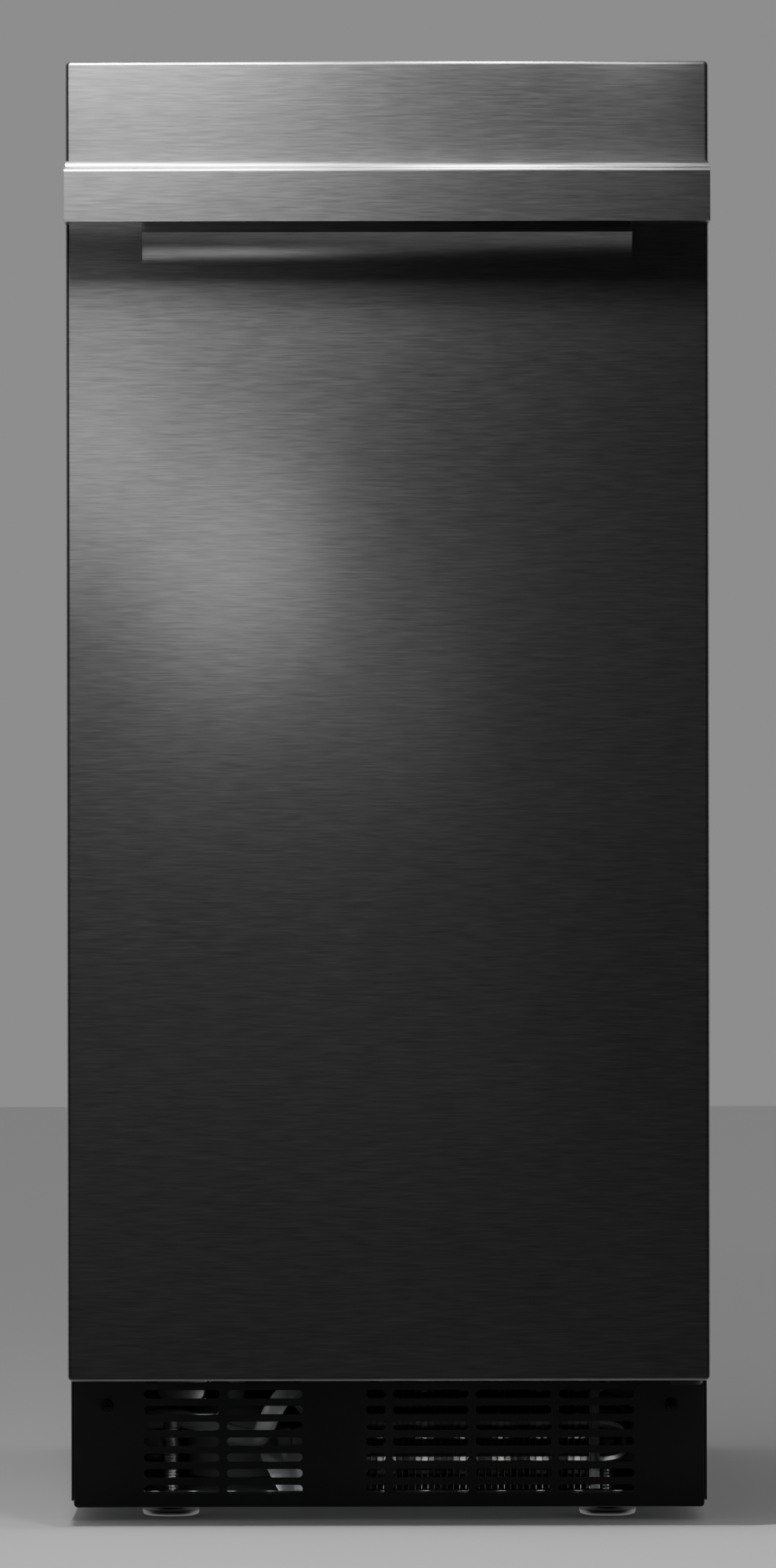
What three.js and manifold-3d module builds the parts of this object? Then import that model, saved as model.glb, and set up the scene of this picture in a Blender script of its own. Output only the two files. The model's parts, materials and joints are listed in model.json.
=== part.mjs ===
// An undercounter clear-ice maker, 15 inches wide, with a brushed steel door on right-hand hinges.
// Millimetres, +Z up, -Y is the front. The origin is the centre of the footprint on the floor.
import * as THREE from "three";
import { mergeVertices } from "three/addons/utils/BufferGeometryUtils.js";
import Module from "manifold-3d";

const wasm = await Module();
wasm.setup();

// ---------------------------------------------------------------- driving dimensions
const WIDTH = 378; // cabinet, door and handle
const DEPTH = 640; // handle front to rear fittings
const GAP = 0.3; // clearance between pieces that touch

const HANDLE_REACH = 27; // door front to handle front
const DOOR_THICK = 46;
const GASKET_THICK = 12;
const FITTING_REACH = 12; // rear fittings beyond the cabinet's back

const DOOR_BOTTOM = 87;
const DOOR_TOP = 863;
const CABINET_TOP = 866.8;
const PAN_UNDERSIDE = 12;
const SHEET = 1.2; // cabinet sheet steel

const HALF = WIDTH / 2;
const DOOR_FRONT = -DEPTH / 2 + HANDLE_REACH;
const CABINET_FRONT = DOOR_FRONT + DOOR_THICK + GASKET_THICK;
const CABINET_BACK = DEPTH / 2 - FITTING_REACH;
const PAN_FLOOR = PAN_UNDERSIDE + 1.5;

// Insulated box, in the Y-Z plane
const LINER_WALL = 2.5;
const LINER_HALF = 155; // inside half width
const LIP_Z = 290; // top of the bin's front wall
const CEILING_Z = 826;
const BIN_FLOOR_Z = 135;
const HUMP_Z = 275; // floor over the machine compartment
const LINER_BACK = 266;
const BIN_FRONT = CABINET_FRONT + 32; // back of the bin's front wall
const BIN_BACK = -38; // foot of the sloping rear wall of the bin
const HUMP_FRONT = -16;

// Hinge axis
const HINGE_X = 175;
const HINGE_Y = DOOR_FRONT + 31;
const PIN_R = 4;
const PIN_BORE_R = 4.3;
const HINGE_TOP_Z = 857;
const HINGE_FOOT_Z = 82.9;
const HINGE_NOTCH = { x: 150, y: DOOR_FRONT + 9, z: 855 };

// Toe panel
const TOE_HALF = 187.5;
const TOE_BOTTOM = 8;
const TOE_TOP = 93;
const TOE_FACE = CABINET_FRONT - SHEET - GAP;
const SLOT_ROWS = 8;
const SLOT_PITCH_Z = 9.4;
const SLOT_HEIGHT = 5;
const SLOT_LOWEST_Z = 18.9;
const SLOT_PITCH_X = 49.35;
const SLOT_LENGTH = 45;
const SCREW_X = 167.7;
const SCREW_Z = 68.8;

// Door handle
const HANDLE_BOTTOM = 767;
const HANDLE_TOP = 799;
const POCKET_HALF = 143;

// Scoop on the right-hand wall of the bin
const SCOOP_X = 122;
const SCOOP_Y = -150;
const SCOOP_Z = 330;

// Levelling legs
const LEG_X = 131;
const LEG_FRONT_Y = -190;
const LEG_REAR_Y = 268;
const LEG_R = 5;

// Ice making unit
const UNIT_TILT = THREE.MathUtils.degToRad(12);
const PLATE_X0 = -92;
const PLATE_X1 = 140;
const PLATE_LENGTH = 200;
const EVAPORATOR_FRONT = [-4, 700]; // y, z of the lower front edge
const GRID_FRONT = [-212, 628];
const PAN = { x0: -148, x1: 145, y0: -12, y1: 62, z0: 598, z1: 648, wall: 2.5 };
const PUMP_X = -124;
const PUMP_Y = 34;

// Machine compartment
const FAN_X = 82;
const FAN_Z = 112;
const FAN_R = 72;
const SHROUD_Y = 26;
const COMPRESSOR_X = -84;
const COMPRESSOR_Y = 196;
const COMPRESSOR_R = 72;
const CONDENSER = { x0: -34, x1: 118, y0: -214, y1: -132, z0: 17, z1: 92 };
const FIN_PITCH = 3.8;
const TUBE_ROWS_Y = [-205, -175, -145];
const LINES_X = 118; // where the lines pass through the box floor
const LINES_Y = 232;
const DRAIN_X = -96;
const DRAIN_Y = -70;
const VALVE_X = 158;
const GLAND_X = 90;
const GLAND_Z = 56;

// ---------------------------------------------------------------- materials
const finish = (color, roughness, metalness) =>
  new THREE.MeshStandardMaterial({ color, roughness, metalness });
const brushedSteel = finish(0xb9bbbc, 0.32, 1);
const blackPaint = finish(0x17181a, 0.55, 0.2);
const greySteel = finish(0x8f9396, 0.45, 0.9);
const whitePlastic = finish(0xe8eaeb, 0.45, 0);
const greyPlastic = finish(0x9a9ea1, 0.5, 0);
const blackPlastic = finish(0x1c1c1e, 0.6, 0);
const foamYellow = finish(0xd9c58a, 0.95, 0);
const gasketGrey = finish(0x6f7376, 0.75, 0);
const copper = finish(0xb36b41, 0.3, 1);
const aluminium = finish(0xc5c8ca, 0.35, 1);
const compressorBlack = finish(0x101113, 0.4, 0.3);
const clearPlastic = finish(0xdfe8ec, 0.15, 0);

// ---------------------------------------------------------------- geometry helpers
function box(x0, x1, y0, y1, z0, z1) {
  const made = new THREE.BoxGeometry(x1 - x0, y1 - y0, z1 - z0);
  return made.translate((x0 + x1) / 2, (y0 + y1) / 2, (z0 + z1) / 2);
}

// A manifold-3d solid of a closed geometry.
function solidOf(geometry) {
  const flat = geometry.index ? geometry.toNonIndexed() : geometry.clone();
  const bare = new THREE.BufferGeometry();
  bare.setAttribute("position", flat.getAttribute("position"));
  const merged = mergeVertices(bare, 1e-4);
  const vertProperties = merged.attributes.position.array;
  const triVerts = new Uint32Array(merged.index.array);
  return new wasm.Manifold(new wasm.Mesh({ numProp: 3, vertProperties, triVerts }));
}

function geometryOf(solid) {
  const mesh = solid.getMesh();
  const points = new Float32Array(mesh.numVert * 3);
  for (let i = 0; i < mesh.numVert; i++) {
    points.set(mesh.vertProperties.subarray(i * mesh.numProp, i * mesh.numProp + 3), i * 3);
  }
  const made = new THREE.BufferGeometry();
  made.setAttribute("position", new THREE.BufferAttribute(points, 3));
  made.setIndex(new THREE.BufferAttribute(mesh.triVerts, 1));
  return made;
}

const join = (...parts) => geometryOf(parts.map(solidOf).reduce((a, b) => a.add(b)));
const cut = (base, ...tools) =>
  geometryOf(tools.map(solidOf).reduce((a, b) => a.subtract(b), solidOf(base)));
const common = (a, b) => geometryOf(solidOf(a).intersect(solidOf(b)));

// A closed outline given as [across, up] points.
function outline(points) {
  return new THREE.Shape(points.map(([a, b]) => new THREE.Vector2(a, b)));
}

function roundedRect(x0, x1, z0, z1, r) {
  const shape = new THREE.Shape();
  shape.moveTo(x0 + r, z0);
  shape.lineTo(x1 - r, z0);
  shape.absarc(x1 - r, z0 + r, r, -Math.PI / 2, 0, false);
  shape.lineTo(x1, z1 - r);
  shape.absarc(x1 - r, z1 - r, r, 0, Math.PI / 2, false);
  shape.lineTo(x0 + r, z1);
  shape.absarc(x0 + r, z1 - r, r, Math.PI / 2, Math.PI, false);
  shape.lineTo(x0, z0 + r);
  shape.absarc(x0 + r, z0 + r, r, Math.PI, 1.5 * Math.PI, false);
  return shape;
}

// Extrudes an X-Z outline from y0 to y1.
function alongY(shape, y0, y1, curveSegments = 3) {
  const made = new THREE.ExtrudeGeometry(shape, { depth: y1 - y0, bevelEnabled: false, curveSegments });
  return made.rotateX(Math.PI / 2).translate(0, y1, 0);
}

// Extrudes a Y-Z outline from x0 to x1.
const YZ_TO_SPACE = new THREE.Matrix4().makeBasis(
  new THREE.Vector3(0, 1, 0),
  new THREE.Vector3(0, 0, 1),
  new THREE.Vector3(1, 0, 0),
);
function alongX(shape, x0, x1, curveSegments = 5) {
  const made = new THREE.ExtrudeGeometry(shape, { depth: x1 - x0, bevelEnabled: false, curveSegments });
  return made.applyMatrix4(YZ_TO_SPACE).translate(x0, 0, 0);
}

// Extrudes an X-Y outline from z0 to z1.
function alongZ(shape, z0, z1, curveSegments = 5) {
  const made = new THREE.ExtrudeGeometry(shape, { depth: z1 - z0, bevelEnabled: false, curveSegments });
  return made.translate(0, 0, z0);
}

// Revolves a [radius, height] profile, listed upwards from the axis and back to it, about Z.
function turned(profile, segments = 16) {
  const points = profile.map(([r, h]) => new THREE.Vector2(r, h));
  return new THREE.LatheGeometry(points, segments).rotateX(Math.PI / 2);
}

function rod(r, z0, z1, segments = 16) {
  return turned([[0, z0], [r, z0], [r, z1], [0, z1]], segments);
}

// A round tube through points.
function tube(points, r, steps, sides = 8) {
  const section = new THREE.Shape();
  for (let i = 0; i < sides; i++) {
    const angle = (i / sides) * 2 * Math.PI;
    const corner = [r * Math.cos(angle), r * Math.sin(angle)];
    if (i === 0) section.moveTo(...corner);
    else section.lineTo(...corner);
  }
  const path = new THREE.CatmullRomCurve3(
    points.map((p) => new THREE.Vector3(...p)),
    false,
    "centripetal",
  );
  return new THREE.ExtrudeGeometry(section, { extrudePath: path, steps, bevelEnabled: false });
}

function node(name, geometry, material, position = [0, 0, 0], rotation = [0, 0, 0]) {
  const made = new THREE.Mesh(geometry, material);
  made.name = name;
  made.position.set(...position);
  made.rotation.set(...rotation);
  return made;
}

// ---------------------------------------------------------------- cabinet
// Inside outline of the insulated box, grown outwards by a wall thickness.
function cavityOutline(grow, front) {
  return outline([
    [front, LIP_Z - grow],
    [BIN_FRONT - grow, LIP_Z - grow],
    [BIN_FRONT - grow, BIN_FLOOR_Z - grow],
    [BIN_BACK + 0.85 * grow, BIN_FLOOR_Z - grow],
    [HUMP_FRONT + 0.85 * grow, HUMP_Z - grow],
    [LINER_BACK + grow, HUMP_Z - grow],
    [LINER_BACK + grow, CEILING_Z + grow],
    [front, CEILING_Z + grow],
  ]);
}

function wrapper() {
  const corner = 3;
  const shell = cut(
    alongY(roundedRect(-HALF, HALF, PAN_UNDERSIDE - 10, CABINET_TOP, corner), CABINET_FRONT, CABINET_BACK),
    box(-HALF + SHEET, HALF - SHEET, CABINET_FRONT - 1, CABINET_BACK + 1, -10, CABINET_TOP - SHEET),
    box(-HALF - 1, HALF + 1, CABINET_FRONT - 1, CABINET_BACK + 1, -10, PAN_UNDERSIDE),
  );
  const frontFlange = cut(
    box(-HALF + 0.5, HALF - 0.5, CABINET_FRONT, CABINET_FRONT + SHEET, 96, CABINET_TOP - 0.5),
    box(-162, 162, CABINET_FRONT - 1, CABINET_FRONT + 5, 90, 842),
  );
  return join(shell, frontFlange);
}

// The liner is moulded in two pieces, which meet at the height of the bin's front lip.
function linerPiece(z0, z1) {
  const shell = cut(
    alongX(cavityOutline(LINER_WALL, CABINET_FRONT), -LINER_HALF - LINER_WALL, LINER_HALF + LINER_WALL),
    alongX(cavityOutline(0, CABINET_FRONT - 1), -LINER_HALF, LINER_HALF),
  );
  const frontFace = cut(
    box(-161.7, 161.7, CABINET_FRONT, CABINET_FRONT + SHEET, 97, 841.7),
    box(-LINER_HALF, LINER_HALF, CABINET_FRONT - 1, CABINET_FRONT + 5, LIP_Z, CEILING_Z),
  );
  const whole = cut(
    join(shell, frontFace),
    rod(16, HUMP_Z - 20, HUMP_Z + 20).translate(LINES_X, LINES_Y, 0),
    rod(9, BIN_FLOOR_Z - 20, BIN_FLOOR_Z + 20, 12).translate(DRAIN_X, DRAIN_Y, 0),
  );
  return common(whole, box(-HALF, HALF, CABINET_FRONT - 1, CABINET_BACK, z0, z1));
}

function cabinetFoam() {
  const front = CABINET_FRONT + SHEET + GAP;
  const back = CABINET_BACK - 1.5 - GAP;
  const around = outline([
    [front, 97],
    [0, 97],
    [22, 237],
    [back, 237],
    [back, CABINET_TOP - SHEET - GAP],
    [front, CABINET_TOP - SHEET - GAP],
  ]);
  const inner = LINER_WALL + GAP;
  return cut(
    alongX(around, -HALF + SHEET + GAP, HALF - SHEET - GAP),
    alongX(cavityOutline(inner, front - 5), -LINER_HALF - inner, LINER_HALF + inner),
    rod(16, 200, HUMP_Z + 20).translate(LINES_X, LINES_Y, 0),
    rod(9, 80, BIN_FLOOR_Z + 20, 12).translate(DRAIN_X, DRAIN_Y, 0),
  );
}

// The steel skin under the foam, stepped up over the machine compartment.
function compartmentCeiling() {
  const front = CABINET_FRONT + SHEET + GAP;
  const back = CABINET_BACK - 1.5 - GAP;
  const stepped = outline([
    [front, 95.6],
    [1, 95.6],
    [23.2, 235.6],
    [back, 235.6],
    [back, 236.7],
    [22.2, 236.7],
    [0, 96.7],
    [front, 96.7],
  ]);
  return cut(
    alongX(stepped, -HALF + SHEET + GAP, HALF - SHEET - GAP),
    rod(16, 200, 260).translate(LINES_X, LINES_Y, 0),
    rod(9, 80, 120, 12).translate(DRAIN_X, DRAIN_Y, 0),
  );
}

function rearVentCover() {
  const half = HALF - SHEET - GAP;
  const louvres = [];
  for (const x of [-95, 25]) {
    for (let row = 0; row < 9; row++) {
      const z = 120 + row * 12;
      louvres.push(box(x - 45, x + 45, CABINET_BACK - 5, CABINET_BACK + 5, z, z + 5));
    }
  }
  return cut(
    box(-half, half, CABINET_BACK - SHEET, CABINET_BACK, 14, 236),
    ...louvres,
    rod(14, -10, 10).rotateX(Math.PI / 2).translate(VALVE_X, CABINET_BACK, 60),
    rod(9, -10, 10).rotateX(Math.PI / 2).translate(-150, CABINET_BACK, 60),
    rod(11, -10, 10).rotateX(Math.PI / 2).translate(GLAND_X, CABINET_BACK, GLAND_Z),
  );
}

const LEGS = [
  ["leveling_leg_front_left", -LEG_X, LEG_FRONT_Y],
  ["leveling_leg_front_right", LEG_X, LEG_FRONT_Y],
  ["leveling_leg_rear_left", -LEG_X, LEG_REAR_Y],
  ["leveling_leg_rear_right", LEG_X, LEG_REAR_Y],
];

function basePan() {
  const half = 185.5;
  const front = CABINET_FRONT + 3;
  const back = CABINET_BACK - SHEET - GAP;
  const tray = cut(
    box(-half, half, front, back, PAN_UNDERSIDE, 40),
    box(-half + 1.5, half - 1.5, front + 1.5, back - 1.5, PAN_FLOOR, 50),
    box(-half - 1, half + 1, front - 1, front + 1.6, 17.3, 50),
  );
  const holes = LEGS.map(([, x, y]) => rod(LEG_R + 0.6, 0, 30).translate(x, y, 0));
  return cut(tray, ...holes);
}

function levellingLeg() {
  return turned([
    [0, 0], [15, 0], [17, 2], [17, 4.5], [9, 8], [9, PAN_UNDERSIDE - GAP],
    [LEG_R, PAN_UNDERSIDE - GAP], [LEG_R, 55], [LEG_R - 1, 56], [0, 56],
  ], 14);
}

// The slots of one row: six columns, the third one cut short over the air divider.
function slotSpans() {
  const spans = [];
  for (let column = 0; column < 6; column++) {
    const middle = (column - 2.5) * SLOT_PITCH_X;
    spans.push([middle - SLOT_LENGTH / 2, middle + SLOT_LENGTH / 2]);
  }
  spans[2][0] = -13.5;
  return spans;
}

function toeGrille() {
  const back = TOE_FACE + 10;
  const pan = cut(
    alongY(roundedRect(-TOE_HALF, TOE_HALF, TOE_BOTTOM, TOE_TOP, 2.3), TOE_FACE, back),
    box(-TOE_HALF + SHEET, TOE_HALF - SHEET, TOE_FACE + SHEET, back + 1, TOE_BOTTOM + SHEET, TOE_TOP + 5),
    box(148, TOE_HALF + 1, TOE_FACE - 1, back + 1, HINGE_FOOT_Z - GAP, TOE_TOP + 5),
  );
  const slots = [];
  const half = SLOT_HEIGHT / 2;
  for (let row = 0; row < SLOT_ROWS; row++) {
    const z = SLOT_LOWEST_Z + row * SLOT_PITCH_Z;
    for (const [x0, x1] of slotSpans()) {
      const slot = outline([
        [x0, z - half / 2], [x0 + half / 2, z - half], [x1 - half / 2, z - half], [x1, z - half / 2],
        [x1, z + half / 2], [x1 - half / 2, z + half], [x0 + half / 2, z + half], [x0, z + half / 2],
      ]);
      slots.push(alongY(slot, TOE_FACE - 1, TOE_FACE + SHEET + 1));
    }
  }
  const screwHoles = [-SCREW_X, SCREW_X].map((x) =>
    rod(2.7, -5, 5, 12).rotateX(Math.PI / 2).translate(x, TOE_FACE, SCREW_Z),
  );
  return cut(pan, ...slots, ...screwHoles);
}

// A pan-head screw whose head faces the front.
function toeScrew() {
  const profile = [[0, -9], [2, -9], [2, GAP], [3.9, GAP], [3.9, 1.6], [2.6, 2.6], [0, 2.6]];
  return turned(profile, 14).rotateX(Math.PI / 2);
}

// The hinge foot seen from above: a tongue with a rounded end about the hinge axis.
function hingeTongue() {
  const foot = new THREE.Shape();
  foot.moveTo(150, CABINET_FRONT - 0.5);
  foot.lineTo(HINGE_X - 10, HINGE_Y);
  foot.absarc(HINGE_X, HINGE_Y, 10, Math.PI, 2 * Math.PI, false);
  foot.lineTo(187, CABINET_FRONT - 0.5);
  return foot;
}

// The pins are pressed into their brackets, so each bracket and its pin are one piece.
function topHinge() {
  return join(
    alongZ(hingeTongue(), HINGE_TOP_Z, HINGE_TOP_Z + 3),
    box(150, 187, CABINET_FRONT - 3.5, CABINET_FRONT - 0.5, 848, HINGE_TOP_Z + 3),
    rod(PIN_R, HINGE_TOP_Z - 9, HINGE_TOP_Z + 1).translate(HINGE_X, HINGE_Y, 0),
    rod(6, HINGE_TOP_Z + 2, HINGE_TOP_Z + 4.5).translate(HINGE_X, HINGE_Y, 0),
  );
}

function bottomHinge() {
  return join(
    alongZ(hingeTongue(), HINGE_FOOT_Z, HINGE_FOOT_Z + 2.5),
    box(150, 187, CABINET_FRONT - 3.5, CABINET_FRONT - 0.5, HINGE_FOOT_Z, 100),
    rod(7, HINGE_FOOT_Z + 2, DOOR_BOTTOM - GAP).translate(HINGE_X, HINGE_Y, 0),
    rod(PIN_R, 86, 101).translate(HINGE_X, HINGE_Y, 0),
  );
}

function rearPanel() {
  const inside = HALF - SHEET - GAP;
  return box(-inside, inside, CABINET_BACK - 1.5, CABINET_BACK, 237, CABINET_TOP - SHEET - GAP);
}

function buildCabinet() {
  const group = new THREE.Group();
  group.add(
    node("cabinet_wrapper", wrapper(), blackPaint),
    node("cabinet_liner", linerPiece(LIP_Z + GAP, CABINET_TOP), whitePlastic),
    node("ice_bin", linerPiece(0, LIP_Z), whitePlastic),
    node("cabinet_foam", cabinetFoam(), foamYellow),
    node("compartment_ceiling", compartmentCeiling(), greySteel),
    node("rear_panel", rearPanel(), greySteel),
    node("rear_vent_cover", rearVentCover(), greySteel),
    node("base_pan", basePan(), greySteel),
    node("toe_grille", toeGrille(), blackPaint),
    node("toe_screw_left", toeScrew(), blackPaint, [-SCREW_X, TOE_FACE, SCREW_Z]),
    node("toe_screw_right", toeScrew(), blackPaint, [SCREW_X, TOE_FACE, SCREW_Z]),
    node("top_hinge", topHinge(), blackPaint),
    node("bottom_hinge", bottomHinge(), blackPaint),
  );
  for (const [name, x, y] of LEGS) group.add(node(name, levellingLeg(), greySteel, [x, y, 0]));
  return group;
}

// ---------------------------------------------------------------- door
const DOOR_BACK = DOOR_FRONT + DOOR_THICK;
const CAP_FRONT = DOOR_FRONT + 14.3;
const CAP_HEIGHT = 10;
const SKIN = 1;

function hingeNotch() {
  return box(HINGE_NOTCH.x, HALF + 1, HINGE_NOTCH.y, DOOR_BACK + 1, HINGE_NOTCH.z, DOOR_TOP + 1);
}

// A folded sheet: the face, two full sides and short returns at the top and bottom.
function doorSkin() {
  const back = DOOR_BACK - 3;
  const bend = 2.5;
  const plan = new THREE.Shape();
  plan.moveTo(-HALF, back);
  plan.lineTo(-HALF, DOOR_FRONT + bend);
  plan.absarc(-HALF + bend, DOOR_FRONT + bend, bend, Math.PI, 1.5 * Math.PI, false);
  plan.absarc(HALF - bend, DOOR_FRONT + bend, bend, 1.5 * Math.PI, 2 * Math.PI, false);
  plan.lineTo(HALF, back);
  const block = common(
    alongZ(plan, DOOR_BOTTOM, DOOR_TOP),
    alongY(roundedRect(-HALF, HALF, DOOR_BOTTOM, DOOR_TOP, 3), DOOR_FRONT - 1, back + 1),
  );
  const x = HALF - SKIN;
  return cut(
    block,
    box(-x, x, DOOR_FRONT + SKIN, back + 1, DOOR_BOTTOM + SKIN, DOOR_TOP - SKIN),
    box(-x, x, DOOR_FRONT + 14, back + 1, DOOR_BOTTOM - 1, DOOR_TOP + 1),
    hingeNotch(),
  );
}

// The ledge across the door that the fingers hook under. Its ends are closed; the middle is open below.
function doorHandle() {
  const back = DOOR_FRONT - GAP;
  const front = -DEPTH / 2;
  const side = new THREE.Shape();
  side.moveTo(back, HANDLE_BOTTOM);
  side.lineTo(back, HANDLE_TOP + 10);
  side.quadraticCurveTo(back, HANDLE_TOP + 3, back - 7, HANDLE_TOP + 2);
  side.lineTo(front + 7, HANDLE_TOP);
  side.absarc(front + 7, HANDLE_TOP - 7, 7, Math.PI / 2, Math.PI, false);
  side.lineTo(front, HANDLE_BOTTOM);
  const pocket = outline([
    [front + 1.5, HANDLE_BOTTOM - 1],
    [back + 1, HANDLE_BOTTOM - 1],
    [back + 1, HANDLE_TOP - 0.5],
    [front + 7, HANDLE_TOP - 1.5],
    [front + 1.5, HANDLE_TOP - 7],
  ]);
  return cut(alongX(side, -HALF, HALF, 6), alongX(pocket, -POCKET_HALF, POCKET_HALF));
}

function doorFoam() {
  const x = HALF - SKIN - GAP;
  const y1 = DOOR_BACK - 2.5 - GAP;
  return cut(
    box(-x, x, DOOR_FRONT + SKIN + GAP, y1, DOOR_BOTTOM + CAP_HEIGHT + GAP, DOOR_TOP - CAP_HEIGHT - GAP),
    rod(7.6, 840, 860).translate(HINGE_X, HINGE_Y, 0),
    rod(7.6, 90, 104).translate(HINGE_X, HINGE_Y, 0),
  );
}

function doorInnerPanel() {
  const x = HALF - SKIN - GAP;
  const z0 = DOOR_BOTTOM + CAP_HEIGHT + GAP;
  const z1 = DOOR_TOP - CAP_HEIGHT - GAP;
  return cut(
    join(
      box(-x, x, DOOR_BACK - 2.5, DOOR_BACK, z0, z1),
      alongY(roundedRect(-136, 136, 150, 806, 14), DOOR_BACK - 1, DOOR_BACK + 9, 4),
    ),
    alongY(roundedRect(-133.5, 133.5, 152.5, 803.5, 12), DOOR_BACK - 5, DOOR_BACK + 6.5, 4),
  );
}

function doorGasket() {
  const ring = roundedRect(-172, 172, 103, 845, 8);
  ring.holes.push(roundedRect(-154, 154, 121, 827, 4));
  return alongY(ring, DOOR_BACK + GAP, CABINET_FRONT - GAP, 3);
}

function doorCap(z0) {
  const x = HALF - SKIN - GAP;
  return cut(
    box(-x, x, CAP_FRONT, DOOR_BACK, z0, z0 + CAP_HEIGHT),
    hingeNotch(),
    rod(7.3, z0 - 1, z0 + CAP_HEIGHT + 1).translate(HINGE_X, HINGE_Y, 0),
  );
}

// A bush is a ring; its outline closes on itself.
function hingeBush(z0, z1) {
  return turned([[PIN_BORE_R, z0], [7, z0], [7, z1], [PIN_BORE_R, z1], [PIN_BORE_R, z0]]);
}

function buildDoor() {
  const group = new THREE.Group();
  group.add(
    node("door_skin", doorSkin(), brushedSteel),
    node("door_handle", doorHandle(), brushedSteel),
    node("door_foam", doorFoam(), foamYellow),
    node("door_inner_panel", doorInnerPanel(), whitePlastic),
    node("door_gasket", doorGasket(), gasketGrey),
    node("door_cap_top", doorCap(DOOR_TOP - CAP_HEIGHT), blackPlastic),
    node("door_cap_bottom", doorCap(DOOR_BOTTOM), blackPlastic),
    node("hinge_bush_top", hingeBush(846, 856.5), whitePlastic, [HINGE_X, HINGE_Y, 0]),
    node("hinge_bush_bottom", hingeBush(DOOR_BOTTOM, 102), whitePlastic, [HINGE_X, HINGE_Y, 0]),
  );
  return group;
}

// ---------------------------------------------------------------- ice making unit
// Pieces of the unit are drawn level and tipped forwards about their lower front edge.
function tipped(name, geometry, material, [y, z]) {
  return node(name, geometry, material, [0, y, z], [UNIT_TILT, 0, 0]);
}

function evaporatorPlate() {
  const rims = [PLATE_X0, PLATE_X1 - 2].map((x) => box(x, x + 2, 0, PLATE_LENGTH, -14, 10));
  const rails = [22, 176].map((y) => box(-LINER_HALF + GAP, LINER_HALF - GAP, y, y + 8, -14, -10.5));
  return join(box(PLATE_X0, PLATE_X1, 0, PLATE_LENGTH, 0, 2), ...rims, ...rails);
}

function evaporatorTubing() {
  const runs = 7;
  const pitch = 25;
  const points = [];
  for (let run = 0; run < runs; run++) {
    const y = 24 + run * pitch;
    const ends = run % 2 === 0 ? [PLATE_X0 + 22, PLATE_X1 - 22] : [PLATE_X1 - 22, PLATE_X0 + 22];
    const turn = run % 2 === 0 ? PLATE_X1 - 12 : PLATE_X0 + 12;
    points.push([ends[0], y, -5.2], [ends[1], y, -5.2]);
    if (run < runs - 1) points.push([turn, y + pitch / 2, -5.2]);
  }
  return tube(points, 4.4, 84, 6);
}

function waterDistributor() {
  const barrel = rod(8, PLATE_X0 - 4, PLATE_X1, 14).rotateY(Math.PI / 2).translate(0, 192, 20);
  return join(barrel, box(PLATE_X0 + 3, PLATE_X1 - 3, 184, 186, 2 + GAP, 22));
}

function cutterGrid() {
  const x0 = PLATE_X0 - 5;
  const x1 = PLATE_X1 + 5;
  const length = 188;
  const frame = cut(box(x0, x1, 0, length, -9, 14), box(x0 + 3, x1 - 3, 3, length - 3, -10, 15));
  const wires = [];
  for (let i = 1; i <= 11; i++) {
    const x = x0 + (i * (x1 - x0)) / 12;
    wires.push(box(x - 0.6, x + 0.6, 1, length - 1, 4, 5.2));
  }
  for (let i = 1; i <= 9; i++) {
    const y = (i * length) / 10;
    wires.push(box(x0 + 1, x1 - 1, y - 0.6, y + 0.6, -2, -0.8));
  }
  const rails = [6, 174].map((y) => box(-LINER_HALF + GAP, LINER_HALF - GAP, y, y + 8, -9, -5));
  return join(frame, ...wires, ...rails);
}

function waterPan() {
  const { x0, x1, y0, y1, z0, z1, wall } = PAN;
  const ears = [-LINER_HALF + GAP, x1 - 1].map((x, side) =>
    box(x, side === 0 ? x0 + 1 : LINER_HALF - GAP, 16, 34, z1 - 6, z1 - 2),
  );
  return join(
    cut(box(x0, x1, y0, y1, z0, z1), box(x0 + wall, x1 - wall, y0 + wall, y1 - wall, z0 + wall, z1 + 1)),
    ...ears,
  );
}

// The motor stands on the pan's rim and its column reaches down to a cage open at the bottom.
function waterPump() {
  const cage = turned([[0, 616], [15, 616], [15, 619], [0, 619]], 16);
  const posts = [0, 1, 2].map((i) => {
    const angle = (i * 2 * Math.PI) / 3;
    return rod(1.8, 601.5, 617, 8).translate(12.5 * Math.cos(angle), 12.5 * Math.sin(angle), 0);
  });
  const body = join(
    turned([[0, 651], [20, 651], [20, 676], [17, 681], [0, 682]], 18),
    rod(6, 618, 653, 14),
    cage,
    ...posts,
    box(-22, 28, -32, 26, PAN.z1 + GAP, PAN.z1 + 3.5),
    rod(5, PAN.z1 + 1, 660, 12).translate(22, 18, 0),
  );
  return cut(body, rod(2.4, 590, 640, 12));
}

function pumpImpeller() {
  const vanes = [0, 1, 2].map((i) => box(-9, 9, -0.8, 0.8, 603, 609).rotateZ((i * Math.PI) / 3));
  return join(rod(2, 603, 636, 12), rod(9.5, 608, 610, 14), ...vanes);
}

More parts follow.
